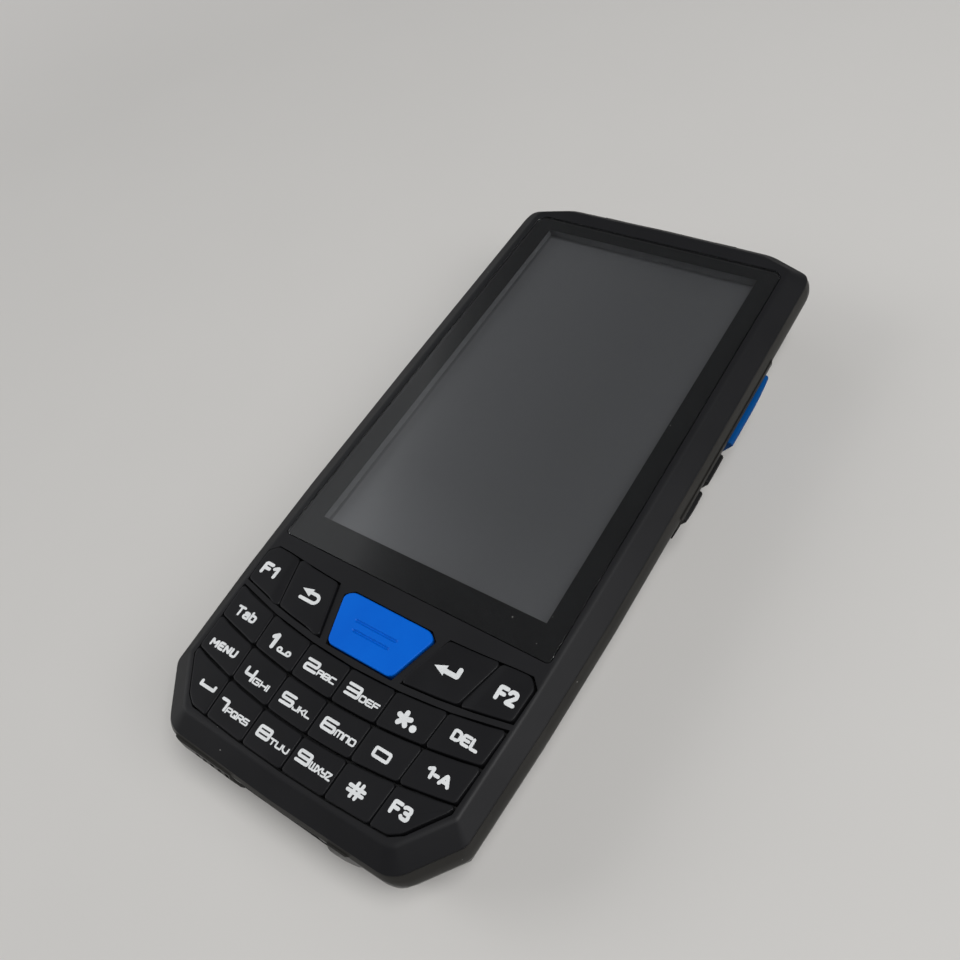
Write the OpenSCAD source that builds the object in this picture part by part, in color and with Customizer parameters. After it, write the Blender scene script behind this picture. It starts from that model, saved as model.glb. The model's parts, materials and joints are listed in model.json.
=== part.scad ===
// Handheld barcode data terminal: a screen above a 23-key keypad, a scan engine in the top end,
// scan triggers and buttons in both sides, a battery under the back and a flap over the charging port.
// The terminal lies on its back. X runs across it, Y runs to its top end and Z runs out of its screen.
// The origin is the middle of the back's footprint, on the surface that the terminal rests on.

/* [Body] */
// Width over the lower edge of the front cover
cover_w = 77; // [76.8:0.1:77.2]
// Length over the lower edge of the front cover
cover_l = 163.8; // [163.6:0.1:164]
// Height of the front cover's face above the back
face_z = 22.6; // [22.5:0.1:23]
// How far each side draws in from the triggers to the bottom corners
side_taper = 2.4; // [2.3:0.1:2.6]
// Height of the sloped rim around the face
rim_drop = 2.6; // [2.5:0.1:2.7]
// Wall of the rear shell
shell_wall = 2.6; // [2.5:0.1:2.7]

/* [Screen] */
// Width of the cover glass
glass_w = 66; // [65.8:0.1:66.2]
// Length of the cover glass
glass_l = 110.4; // [110:0.1:110.6]
// Thickness of the cover glass
glass_t = 1.1; // [1:0.1:1.2]
// Width of the clear window
window_w = 56.44; // [56:0.01:57]
// Length of the clear window
window_l = 99.64; // [99:0.01:100]
// Air gap between the glass and the liquid crystal panel
panel_gap = 2.4; // [2.3:0.1:2.5]

/* [Keypad] */
// Radius of the curve that the key rows follow
row_r = 147; // [140:1:160]
// Distance from one number row to the next
row_pitch = 7.5; // [7.4:0.1:7.6]
// Gap between two neighbouring keys
key_gap = 0.4; // [0.36:0.02:0.44]
// Gap between the keys and the front cover
cover_gap = 0.3; // [0.26:0.02:0.34]
// How far the keys stand above the face
key_proud = 0.6; // [0.5:0.1:0.7]

/* [Side buttons] */
// Reach of the scan triggers from the middle plane
trigger_x = 40.7; // [40.5:0.1:40.8]
// Reach of the small buttons from the middle plane
button_x = 40.2; // [40.1:0.1:40.3]
// Length of a scan trigger
trigger_l = 21; // [20.6:0.1:21.2]
// Length of a small button
button_l = 8; // [7.8:0.1:8.2]

/* [Battery] */
// Width of the battery pack
battery_w = 54; // [53:0.5:54]
// Length of the battery pack
battery_l = 86; // [85:0.5:86]
// Thickness of the battery pack
battery_t = 7; // [6.8:0.1:7]

/* [Hidden] */
$fn = 48;
eps = 0.02;

// Colours of the mouldings and the parts inside
BLACK = [0.12, 0.12, 0.13];
KEY_BLACK = [0.10, 0.10, 0.11];
SHELL_GREY = [0.24, 0.23, 0.22];
BLUE = [0.03, 0.33, 0.80];
RUBBER = [0.07, 0.07, 0.07];
STEEL = [0.66, 0.67, 0.68];
BRASS = [0.78, 0.62, 0.28];
BOARD_GREEN = [0.05, 0.30, 0.16];
SMOKE = [0.18, 0.18, 0.20];

// Heights
part_z = face_z - rim_drop - 0.45;      // parting line between front cover and rear shell
lip_gap = 0.1;                          // gap left at the parting line
ceiling_z = 20.1;                       // underside of the front cover around the screen
glass_z = face_z - 0.1;                 // outer face of the glass
tape_t = 0.2;
glass_back = glass_z - glass_t;
seat_z = glass_back - tape_t;           // ledge that carries the glass
panel_z = glass_back - panel_gap;       // top of the liquid crystal panel
panel_t = 1.3;
tray_t = 1.8;
key_top = face_z + key_proud;
key_base = 20.7;
mat_top = 20.2;
mat_t = 0.7;
pad_t = 0.4;                            // skirt of the mat on the keypad board
keypad_board_t = 1;
keypad_board_z = mat_top - mat_t - pad_t - keypad_board_t;
chassis_t = 1;
chassis_z = panel_z - panel_t - tray_t - chassis_t;
board_z = 11.4;                         // underside of the main board
board_t = 1;
bay_top = 9.9;                          // ceiling of the battery bay
bay_wall = 1;
door_t = 1.8;

// Fore and aft
base_y = -cover_l / 2 + 0.4;            // bottom end of the front cover
top_y = cover_l / 2 + 0.4;              // top end of the front cover
window_y = 21;                          // middle of the screen
glass_top = 74.4;
glass_y = glass_top - glass_l / 2;
screen_end = glass_top - glass_l - 2.3; // where the keypad space starts under the cover

// ---------- Outlines ----------

function mirror_x(points) = [for (i = [len(points) - 1 : -1 : 0]) [-points[i][0], points[i][1]]];

// A closed outline from its right half, listed upwards, with both end points on the middle plane
function both_halves(right) = concat(right, [for (p = mirror_x(right)) if (abs(p[0]) > eps) p]);
function both_values(right) = concat(right, [for (i = [len(right) - 2 : -1 : 1]) right[i]]);

// Point where the lines of edges p-q and q-r meet after they move inwards by d1 and d2
function moved_corner(p, q, r, d1, d2) =
    let (u = (q - p) / norm(q - p), v = (r - q) / norm(r - q),
        a = q + d1 * [-u[1], u[0]], b = q + d2 * [-v[1], v[0]])
    abs(cross(u, v)) < 1e-6 ? a : a + u * cross(b - a, v) / cross(u, v);

// Points of the rounded corner q, turning from the direction of p-q to that of q-r
function round_corner(p, q, r, radius, steps) =
    let (u = (q - p) / norm(q - p), v = (r - q) / norm(r - q),
        turn = asin(cross(u, v)), start = atan2(-u[0], u[1]),
        half = (v - u) / norm(v - u),
        centre = q + half * radius / cos(turn / 2))
    steps == 0 ? [q] :
    [for (i = [0 : steps])
        let (a = start + turn * i / steps)
        centre + radius * [cos(a), sin(a)]];

// Outline with corner radii, its edges moved inwards by the values in moves
function outline(points, radii, steps, moves) =
    let (n = len(points),
        moved = [for (i = [0 : n - 1])
            moved_corner(points[(i + n - 1) % n], points[i], points[(i + 1) % n],
                moves[(i + n - 1) % n], moves[i])])
    [for (i = [0 : n - 1])
        let (shrink = max(moves[i], moves[(i + n - 1) % n]))
        each round_corner(moved[(i + n - 1) % n], moved[i], moved[(i + 1) % n],
            max(radii[i] - shrink, 0.4), steps[i])];

// Solid through a stack of rings that have equal numbers of points
module loft(rings, heights) {
    n = len(rings[0]);
    last = len(rings) - 1;
    points = [for (k = [0 : last]) for (p = rings[k]) [p[0], p[1], heights[k]]];
    sides = [for (k = [0 : last - 1]) for (i = [0 : n - 1])
        [k * n + i, (k + 1) * n + i, (k + 1) * n + (i + 1) % n, k * n + (i + 1) % n]];
    base = [for (i = [0 : n - 1]) i];
    cap = [for (i = [n - 1 : -1 : 0]) last * n + i];
    polyhedron(points, concat(sides, [base], [cap]));
}

// ---------- Body outline ----------

half_w = cover_w / 2;
taper_top = 16;                         // the sides are straight above this height
corner_y = -70;                         // bottom corners start here
function side_x(y) = half_w - side_taper * pow(max(taper_top - y, 0) / (taper_top - corner_y), 2.5);

EDGE_HALF = [[0, base_y], [27.7, base_y + 0.5], [side_x(corner_y), corner_y], [side_x(-46), -46],
    [side_x(-22), -22], [half_w, taper_top], [half_w, top_y - 7.8], [half_w - 0.55, top_y - 4.2],
    [27.5, top_y - 0.4], [0, top_y]];
EDGE = both_halves(EDGE_HALF);
EDGE_R = both_values([1, 6, 3, 1, 1, 1, 6, 3, 10, 1]);
EDGE_STEPS = both_values([0, 5, 3, 0, 0, 0, 1, 4, 3, 0]);

FACE_HALF = [[0, base_y + 4.1], [25.7, base_y + 4.5], [33.1, -67.4], [33.95, -46], [34.3, -22],
    [34.5, taper_top], [34.5, top_y - 8.7], [34.2, top_y - 6.5], [26.5, top_y - 3.9],
    [0, top_y - 3.5]];
FACE = both_halves(FACE_HALF);
FACE_R = both_values([1, 2.5, 1.2, 1, 1, 1, 2, 2, 8, 1]);

// Moves for the edges of the body outline: along the sides, the bottom corners, the bottom, the top
function edge_moves(side, corner, base, top) =
    let (half = [base, corner, side, side, side, side, side, top, top])
    concat(half, [for (i = [len(half) - 1 : -1 : 0]) half[i]]);
function body_ring(side, corner, base, top) =
    outline(EDGE, EDGE_R, EDGE_STEPS, edge_moves(side, corner, base, top));
function even_ring(move) = body_ring(move, move, move, move);
function face_ring() = outline(FACE, FACE_R, EDGE_STEPS, edge_moves(0, 0, 0, 0));
function blend(a, b, t) = [for (i = [0 : len(a) - 1]) a[i] * (1 - t) + b[i] * t];

// Inward draw of the rear shell by height: it swells below the parting line and then draws in
SIDE_DRAW = [[0, 5], [0.9, 3.9], [3, 3.1], [8, 1.75], [13, 0.25], [14.6, -0.35], [16.3, -0.8],
    [18.2, -0.6], [part_z - lip_gap, 0]];
CORNER_DRAW = [[0, 4.6], [0.9, 3.4], [3, 2.4], [8, 1.1], [13, -0.2], [14.6, -0.8], [16.3, -1.25],
    [18.2, -0.9], [part_z - lip_gap, 0]];
BASE_DRAW = [[0, 4.2], [0.9, 2.4], [3, 1.1], [8, -0.35], [13, -0.6], [14.6, -0.65], [16.3, -0.65],
    [18.2, -0.55], [part_z - lip_gap, 0]];
TOP_DRAW = [[0, 4.4], [0.9, 3], [3, 1.9], [8, 0.1], [13, -0.5], [14.6, -0.6], [16.3, -0.6],
    [18.2, -0.45], [part_z - lip_gap, 0]];
// The wall is a little thinner at the bottom end
function shell_ring(z, wall) = body_ring(lookup(z, SIDE_DRAW) + wall,
    lookup(z, CORNER_DRAW) + wall, lookup(z, BASE_DRAW) + 0.75 * wall, lookup(z, TOP_DRAW) + wall);

module slab(points, z0, z1) {
    translate([0, 0, z0]) linear_extrude(z1 - z0) polygon(points);
}
// Block from its two opposite corners
module block(low, high) {
    translate(low) cube(high - low);
}
// Block with rounded upright edges
module soft_block(low, high, r) {
    size = high - low;
    corners = [[low[0], low[1]], [high[0], low[1]], [high[0], high[1]], [low[0], high[1]]];
    slab(outline(corners, [r, r, r, r], [4, 4, 4, 4], [0, 0, 0, 0]), low[2], high[2]);
}
module both_sides() {
    children();
    mirror([1, 0, 0]) children();
}
module at_bosses() {
    for (p = BOSSES) translate([p[0], p[1], 0]) children();
}
module along_x(x, y, z, r, length) {
    translate([x, y, z]) rotate([0, 90, 0]) cylinder(h = length, r = r, center = true);
}

BOSSES = [for (s = [-1, 1]) each [[s * 32.2, 72.6], [s * 32.2, -6], [s * 28.1, -72.6]]];
boss_r = 2.2;
boss_z = 15.6;                          // where the two halves' bosses meet
insert_r = 1.5;
screw_r = 0.95;
head_r = 1.9;
head_z = 3.2;                           // seat of the screw heads in the back

// ---------- Keypad outlines ----------

func_top = -40.94;                      // top of the function row on the middle plane
func_base = -52.65;                     // bottom of the function row on the middle plane
row_top = -54.15;                       // top of the first number row on the middle plane
func_top_r = 310;
base_r = 320;
function arc_y(x, y0, r) = y0 + r - sqrt(r * r - x * x);
// Top edge of number row n, and the bottom edge of the last row
function row_y(n, x) = n < 3 ? arc_y(x, row_top - n * row_pitch, row_r)
    : arc_y(x, row_top - 3 * row_pitch, base_r);
// Upright joint lines between columns: x at the top and at the bottom of the number rows
COLUMNS = [[-21.75, -20.2], [-10.65, -10.2], [0, 0], [10.65, 10.2], [21.75, 20.2]];
function column_x(c, y) = COLUMNS[c][0]
    + (COLUMNS[c][1] - COLUMNS[c][0]) * (-53 - y) / 24;
// Outer side of the keypad
pad_shoulder = [33.6, -41.4];
pad_corner = [31.9, -67.2];
pad_foot = [24.2, row_y(3, 24.2)];       // the cut corner at the bottom of the keypad
pad_cut = [26.7, -74.1];
pad_slope = (pad_shoulder[0] - pad_corner[0]) / (pad_shoulder[1] - pad_corner[1]);
function pad_x(y) = pad_corner[0] + pad_slope * (y - pad_corner[1]);
arc_steps = 3;
function arc_points(x0, x1, y0, r) =
    [for (i = [0 : arc_steps]) let (x = x0 + (x1 - x0) * i / arc_steps) [x, arc_y(x, y0, r)]];

// Key between columns c and c + 1 of number row n, before its gaps are taken off
function inner_key(n, c) =
    let (y0 = row_y(n + 1, 0), y1 = row_y(n, 0), r0 = n < 2 ? row_r : base_r,
        low_left = column_x(c, y0), low_right = column_x(c + 1, y0),
        high_left = column_x(c, y1), high_right = column_x(c + 1, y1))
    concat(arc_points(low_left, low_right, y0, r0), arc_points(high_right, high_left, y1, row_r));
// Outermost right key of number row n
function outer_key(n) =
    let (y0 = row_y(n + 1, 0), y1 = row_y(n, 0),
        high = row_y(n, pad_x(y1 + 3.5)), low = row_y(n + 1, pad_x(y0 + 3.5)),
        low_in = column_x(4, y0), high_in = column_x(4, y1))
    n < 2 ? concat(arc_points(low_in, pad_x(low), y0, row_r),
        arc_points(pad_x(high), high_in, y1, row_r))
    : concat(arc_points(low_in, pad_foot[0], y0, base_r), [pad_cut, pad_corner],
        arc_points(pad_x(high), high_in, y1, row_r));

// Function row: joint lines given by x at the top and at the bottom
f_line = [25.2, 22.5];
web_line = [13.85, 10.15];
function func_y(x) = arc_y(x, func_base, row_r);
function top_line_y(x) = arc_y(x, func_top, func_top_r);
F2_KEY = concat(arc_points(f_line[1], 33.1, func_base, row_r), [pad_shoulder, [31.8, -39.5]],
    [[28.3, top_line_y(28.3)], [f_line[0], top_line_y(f_line[0])]]);
ENTER_KEY = concat(arc_points(web_line[1], f_line[1], func_base, row_r),
    arc_points(f_line[0], web_line[0], func_top, func_top_r));
SCAN_KEY = [[-8.0, -52.45], [8.0, -52.45], [11.25, -42.3], [9.6, -40.94], [-9.6, -40.94],
    [-11.25, -42.3]];

// Openings of the front cover: the keys they hold, grown by the gap
FUNC_SPACE = concat(arc_points(web_line[1], 33.1, func_base, row_r),
    [pad_shoulder, [31.8, -39.5]], arc_points(28.3, web_line[0], func_top, func_top_r));
NUMBER_HALF = concat([for (x = [0, 12.1, 24.2]) [x, row_y(3, x)]], [pad_cut, pad_corner,
    [pad_x(-50.2), -50.2]], [for (x = [22, 11, 0]) [x, row_y(0, x)]]);
function grown(points, r, gap) =
    let (n = len(points), one = [for (p = points) 1])
    outline(points, r * one, 0 * one, -gap * one);
function trimmed(points, cut) = grown(points, 1, -cut);

// One key: side walls, a rounded upper edge and a slightly inset foot
module key_cap(points, colour) {
    gap = key_gap / 2;
    color(colour)
    loft([trimmed(points, gap + 0.1), trimmed(points, gap), trimmed(points, gap + 0.08),
        trimmed(points, gap + 0.3)],
        [key_base, key_top - 0.42, key_top - 0.14, key_top]);
}
module number_key(n, c) {
    key_cap(inner_key(n, c), KEY_BLACK);
}
module right_end_key(n) {
    key_cap(outer_key(n), KEY_BLACK);
}
module left_end_key(n) {
    key_cap(mirror_x(outer_key(n)), KEY_BLACK);
}

module key_f1() { key_cap(mirror_x(F2_KEY), KEY_BLACK); }
module key_back() { key_cap(mirror_x(ENTER_KEY), KEY_BLACK); }
module key_enter() { key_cap(ENTER_KEY, KEY_BLACK); }
module key_f2() { key_cap(F2_KEY, KEY_BLACK); }
module key_tab() { left_end_key(0); }
module key_1() { number_key(0, 0); }
module key_2() { number_key(0, 1); }
module key_3() { number_key(0, 2); }
module key_star() { number_key(0, 3); }
module key_del() { right_end_key(0); }
module key_menu() { left_end_key(1); }
module key_4() { number_key(1, 0); }
module key_5() { number_key(1, 1); }
module key_6() { number_key(1, 2); }
module key_0() { number_key(1, 3); }
module key_shift() { right_end_key(1); }
module key_space() { left_end_key(2); }
module key_7() { number_key(2, 0); }
module key_8() { number_key(2, 1); }
module key_9() { number_key(2, 2); }
module key_hash() { number_key(2, 3); }
module key_f3() { right_end_key(2); }

// The scan key: rounded trapezoid with two shallow grooves across its face
module key_scan() {
    n = len(SCAN_KEY);
    one = [for (p = SCAN_KEY) 1];
    function cap_ring(cut) = outline(SCAN_KEY, [1.5, 1.5, 1.6, 1.2, 1.2, 1.6], 4 * one, cut * one);
    color(BLUE)
    difference() {
        loft([cap_ring(0.1), cap_ring(0), cap_ring(0.1), cap_ring(0.35)],
            [key_base, key_top - 0.5, key_top - 0.16, key_top]);
        for (g = [[5.2, -45.9], [4.7, -47.9]])
            block([-g[0], g[1] - 0.22, key_top - 0.22], [g[0], g[1] + 0.22, key_top + 1]);
    }
}

// ---------- Housing ----------

module front_cover() {
    edge = even_ring(0);
    face = face_ring();
    color(BLACK)
    difference() {
        union() {
            difference() {
                loft([edge, edge, for (t = [0.05, 0.87, 0.96, 1.055, 1.156]) blend(edge, face, t)],
                    [part_z, part_z + 0.3, part_z + 0.45, face_z - 0.34, face_z - 0.15,
                    face_z - 0.04, face_z]);
                slab(even_ring(2.2), part_z - 1, ceiling_z);
            }
            // Tongue that drops inside the rear shell
            difference() {
                slab(even_ring(1.2), part_z - 1.65, ceiling_z + 0.1);
                slab(even_ring(2.2), part_z - 2, ceiling_z);
            }
            at_bosses() translate([0, 0, boss_z]) cylinder(h = ceiling_z + 0.3 - boss_z, r = boss_r);
        }
        // Room above the keypad mat
        intersection() {
            slab(even_ring(3.6), mat_top - 0.1, 21);
            block([-40, base_y, 20], [40, screen_end, 21.2]);
        }
        // Seat and window of the glass
        slab(glass_outline(-0.2), seat_z, face_z + 1);
        block([-29, window_y - 50.6, ceiling_z - 1], [29, window_y + 50.6, face_z]);
        // Key openings
        for (s = [0, 1]) mirror([s, 0, 0])
            slab(grown(FUNC_SPACE, 1, cover_gap - key_gap / 2), key_base - 0.7, face_z + 1);
        slab(grown(SCAN_KEY, 1.5, cover_gap), key_base - 0.7, face_z + 1);
        slab(grown(both_halves(NUMBER_HALF), 1, cover_gap - key_gap / 2), key_base - 0.7,
            face_z + 1);
        at_bosses() translate([0, 0, boss_z - 1]) cylinder(h = 5, r = insert_r);
    }
}

function glass_outline(move) =
    let (x = glass_w / 2, low = glass_top - glass_l, cut = 1.6,
        half = [[0, low], [x, low], [x, glass_top - cut], [x - cut, glass_top], [0, glass_top]],
        m = both_values([for (i = [1 : 4]) move]))
    outline(both_halves(half), both_values([1, 0.8, 1, 1, 1]), both_values([0, 3, 2, 2, 0]),
        [for (i = [1 : 8]) move]);

door_low = [-29, -63];
door_high = [29, 35.4];
bay_low = [-battery_w / 2 - 0.4, -54];
bay_high = [battery_w / 2 + 0.4, -54 + battery_l + 0.6];
DOOR_SCREWS = [[-21, -58.6], [21, -58.6]];
// Outline of the battery door, with long corner cuts at the bottom and short ones at the top
function door_outline(move) =
    let (c = 7, e = 2.6, a = door_low, b = door_high)
    outline([[a[0] + c, a[1]], [b[0] - c, a[1]], [b[0], a[1] + c], [b[0], b[1] - e],
        [b[0] - e, b[1]], [a[0] + e, b[1]], [a[0], b[1] - e], [a[0], a[1] + c]],
        [2, 2, 2, 1, 1, 1, 1, 2], [3, 3, 3, 2, 2, 2, 2, 3], [for (i = [1 : 8]) move]);
HOOKS = [-12, 12];                      // places of the hooks at the top edge of the door

// Port flap in the bottom end
flap_low_x = -8.6;
flap_high_x = 11.2;
flap_mid = (flap_low_x + flap_high_x) / 2;
flap_base = 9;
flap_top = 17.6;
flap_face = base_y - 0.6;               // outer face of the flap
flap_floor = base_y + 0.6;              // floor of the recess behind it
hinge_y = flap_face + 0.45;
hinge_z = flap_base + 0.7;
hinge_r = 0.42;
usb_z = board_z + board_t + 1.6;

// Side buttons
trigger_y = 39;
up_y = 21.1;
down_y = 10.6;
button_z0 = 10.2;
button_z1 = 15.6;
flange_x = 36.3;                        // inner wall plane that the button flanges bear on
flange_t = 1;
// Lens of the rear camera
lens_at = [-17, 60];
lens_r = 5;
// Scan window in the top end
scan_w = 24;
scan_z0 = 5.6;
scan_z1 = 15.4;
scan_y = top_y - 1.1;
wall_in = 4;                            // how far the thick wall of the top end reaches inwards

module shell_body() {
    levels = [0, 0.9, 3, 8, 13, 14.6, 16.3, 18.2, part_z - lip_gap];
    hollow = [2.2, 3.4, 8, 13, 14.6, 16.3, part_z];
    difference() {
        union() {
            difference() {
                loft([for (z = levels) shell_ring(z, 0)], levels);
                loft([for (z = hollow) shell_ring(z, shell_wall)],
                    [for (z = hollow) z == part_z ? part_z + 1 : z]);
            }
            both_sides() button_pad();
            both_sides() scan_bumper();
            end_pads();
        }
        slab(even_ring(1.1), part_z - 2.25, part_z + 1);
    }
}
// Raised pad around the side buttons
module button_pad() {
    profile = [[35.4, 8.6], [37.35, 8.6], [38.75, 13], [39.6, 16], [39.5, 17], [35.4, 17]];
    difference() {
        translate([0, 53.5, 0]) rotate([90, 0, 0]) linear_extrude(48.3) polygon(profile);
        translate([0, 0, 8]) linear_extrude(10) polygon([[38.6, 5.2], [41, 5.2], [41, 7]]);
        translate([0, 0, 8]) linear_extrude(10) polygon([[38.6, 54], [41, 50.5], [41, 54]]);
    }
}
// Rounded rib beside the scan window
module scan_bumper() {
    profile = [[77, 3.4], [80.6, 3.4], [82.5, 8.6], [82.95, 12.5], [82.95, 19], [82.7, 19.35],
        [77, 19.35]];
    translate([12.6, 0, 0]) rotate([90, 0, 90]) linear_extrude(5.6) polygon(profile);
}
// Raised pad of the bottom end in the given plan, bevelled above and below
module end_pad(plan) {
    profile = [[base_y + 1, 9.4], [base_y - 0.7, 11], [base_y - 1.1, 13], [base_y - 1.15, 15.6],
        [base_y - 0.95, 17], [base_y - 0.55, 18.4], [base_y + 1, 18.4]];
    intersection() {
        translate([-30, 0, 0]) rotate([90, 0, 90]) linear_extrude(60) polygon(profile);
        translate([0, 0, 9]) linear_extrude(10) polygon([for (p = plan) [p[0], base_y + p[1]]]);
    }
}
// Pads around the speaker slots and beside the flap
module end_pads() {
    end_pad([[-26.6, 1], [-26, -0.25], [-23.6, -0.85], [-11.8, -1], [-10.9, -0.95], [-10.2, 1]]);
    end_pad([[12.9, 1], [13.9, -1.1], [16, -0.95], [18, -0.5], [21, 1]]);
}

module rear_shell() {
    color(SHELL_GREY)
    difference() {
        union() {
            shell_body();
            // Battery bay, seen from inside as a raised tub
            block([bay_low[0] - 1.3, bay_low[1] - 1.3, 1], [bay_high[0] + 1.3, bay_high[1] + 1.3,
                bay_top + bay_wall]);
            // Solid lands over the door screws and the hooks of the door
            block([-26, door_low[1] - 1, 1], [26, bay_low[1] - 0.5, 7]);
            block([-16, bay_high[1], 1], [16, door_high[1] + 2.8, 3.4]);
            for (x = [-24, 24]) for (y = [-48, 26])
                translate([x, y, bay_top]) cylinder(h = board_z - bay_top, r = 2);
            intersection() {
                at_bosses() translate([0, 0, 1.2]) cylinder(h = boss_z - 1.3, r = 2.5);
                loft([for (z = [1, 3, 8, 16]) shell_ring(z, 0.7)], [1, 3, 8, 16]);
            }
            // Thick wall behind the port and behind the scan window
            block([flap_low_x - 1.6, base_y, flap_base - 1.6],
                [flap_high_x + 1.6, base_y + 2.4, part_z - 2.25]);
            block([-scan_w / 2 - 1.5, top_y - wall_in, scan_z0 - 2],
                [scan_w / 2 + 1.5, top_y - 0.8, scan_z1 + 0.4]);
            // Ring that carries the camera window
            translate([lens_at[0], lens_at[1], 1]) cylinder(h = 2.6, r = lens_r + 1.6);
        }
        // Battery door and bay
        slab(door_outline(-0.25), -1, door_t);
        block([bay_low[0], bay_low[1], 0], [bay_high[0], bay_high[1], bay_top]);
        for (p = DOOR_SCREWS) translate([p[0], p[1], 0]) cylinder(h = 6, r = 1);
        for (x = HOOKS)
            block([x - 3, door_high[1] - 1, 0.8], [x + 3, door_high[1] + 1.6, door_t + 0.2]);
        block([-7, bay_high[1] - 7, bay_top - 1], [7, bay_high[1] - 1, bay_top + 2]);
        // Screw holes
        at_bosses() translate([0, 0, -1]) cylinder(h = 20, r = 1.15);
        at_bosses() translate([0, 0, -1]) cylinder(h = 1 + head_z, r = head_r + 0.2);
        // Speaker slots
        for (i = [0 : 4]) {
            block([-20.2 + i * 2, base_y - 3, 11], [-19.2 + i * 2, base_y + 4, 15.6]);
            block([-20.2 + i * 2, base_y - 3, 13], [-19.2 + i * 2, base_y - 0.2, 17.9]);
        }
        // Port: flap recess, its hinge holes and the opening of the socket
        block([flap_low_x, base_y - 3, flap_base], [flap_high_x, flap_floor, flap_top]);
        along_x(flap_mid, hinge_y, hinge_z, hinge_r + 0.05, flap_high_x - flap_low_x + 2);
        soft_port(5.2, 2.4, base_y - 1, base_y + 4);
        // Side buttons: openings, and room for their flanges inside
        both_sides() {
            button_hole(trigger_y, trigger_l);
            button_hole(up_y, button_l);
        }
        button_hole(down_y, button_l);
        // Scan window: seat and light path
        block([-scan_w / 2 - 0.1, scan_y - 1.2, scan_z0 - 0.1], [scan_w / 2 + 0.1, top_y + 3,
            scan_z1 + 0.1]);
        block([-scan_w / 2 + 1.4, top_y - 6, scan_z0 + 1.2], [scan_w / 2 - 1.4, top_y + 3,
            scan_z1 - 1.2]);
        // Camera window: seat and light path
        translate([lens_at[0], lens_at[1], -1]) cylinder(h = 2, r = lens_r + 0.1);
        translate([lens_at[0], lens_at[1], -1]) cylinder(h = 6, r = lens_r - 1.2);
    }
}
module soft_port(half, half_h, y0, y1) {
    translate([flap_mid, y1, usb_z]) rotate([90, 0, 0])
        linear_extrude(y1 - y0) polygon(outline([[-half, -half_h], [half, -half_h],
            [half, half_h], [-half, half_h]], [1, 1, 1, 1], [3, 3, 3, 3], [0, 0, 0, 0]));
}
module button_hole(y, length) {
    gap = 0.3;
    block([30, y - length / 2 - gap, button_z0 - gap], [45, y + length / 2 + gap,
        button_z1 + gap]);
    block([31, y - length / 2 - 1.3, button_z0 - 1.3], [flange_x + 0.1, y + length / 2 + 1.3,
        button_z1 + 1.2]);
}

module case_seal() {
    color(RUBBER)
    difference() {
        slab(even_ring(1.2), part_z - 2.25, part_z - 1.65);
        slab(even_ring(1.9), part_z - 3, part_z);
    }
}
module case_screws() {
    color(STEEL) at_bosses() screw(head_r, head_z - 1.2, head_z, 19.2, screw_r);
}
// Pan head below its seat, with a six-lobe drive recess, and a shank up to the tip
module screw(r, head_base, seat, tip, shank_r) {
    difference() {
        union() {
            translate([0, 0, head_base]) cylinder(h = seat - head_base, r = r);
            translate([0, 0, seat - eps]) cylinder(h = tip - seat, r = shank_r);
        }
        translate([0, 0, head_base - 1]) cylinder(h = 1.6, r = r * 0.5, $fn = 6);
    }
}
module screw_inserts() {
    color(BRASS) at_bosses() difference() {
        translate([0, 0, boss_z + 0.2]) cylinder(h = 3.6, r = insert_r);
        cylinder(h = 30, r = screw_r + 0.05);
    }
}

module battery_cover() {
    color(SHELL_GREY)
    difference() {
        union() {
            slab(door_outline(0), 0, door_t);
            // Hooks that slip behind the skin of the shell at the top edge
            for (x = HOOKS)
                block([x - 2.6, door_high[1] - 1, 0.95], [x + 2.6, door_high[1] + 1.3, door_t]);
        }
        seal_ring(door_t - 0.6, door_t + 1, 0.05);
        // Grip grooves across the lower end
        for (i = [0 : 3])
            block([-12, -50 - i * 2.6, -1], [12, -48.9 - i * 2.6, 0.5]);
        for (p = DOOR_SCREWS) translate([p[0], p[1], -1]) {
            cylinder(h = 4, r = 1.15);
            cylinder(h = 2, r = 2.1);
        }
    }
}
module battery_seal() { color(RUBBER) seal_ring(door_t - 0.55, door_t, 0); }
// Ring around the opening of the battery bay, widened by grow
module seal_ring(z0, z1, grow) {
    out = [1.3 + grow, 1.1 + grow];
    inside = [0.5 - grow, 0.5 - grow];
    difference() {
        slab(rounded_rect(bay_low - out, bay_high + out, 3), z0, z1);
        slab(rounded_rect(bay_low - inside, bay_high + inside, 2.2), z0 - 1, z1 + 1);
    }
}
function rounded_rect(low, high, r) = outline([[low[0], low[1]], [high[0], low[1]],
    [high[0], high[1]], [low[0], high[1]]], [r, r, r, r], [4, 4, 4, 4], [0, 0, 0, 0]);
module cover_screws() {
    color(STEEL) for (p = DOOR_SCREWS) translate([p[0], p[1], 0]) screw(1.9, 0.1, 1, 5.6, 0.95);
}
module battery_pack() {
    low = [bay_low[0] + 0.4, bay_low[1] + 0.3];
    color(SMOKE) slab(rounded_rect(low, low + [battery_w, battery_l], 1.6), door_t + 0.5,
        door_t + 0.5 + battery_t);
}
module battery_contacts() {
    y = bay_high[1] - 4;
    z = door_t + 0.5 + battery_t;
    color(BRASS) union() {
        block([-6, y - 2.4, z + 0.5], [6, y + 2.4, board_z]);
        for (x = [-4.2, -1.4, 1.4, 4.2]) block([x - 0.5, y - 1.5, z], [x + 0.5, y + 1.5, z + 1]);
    }
}

// ---------- Display ----------

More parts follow.
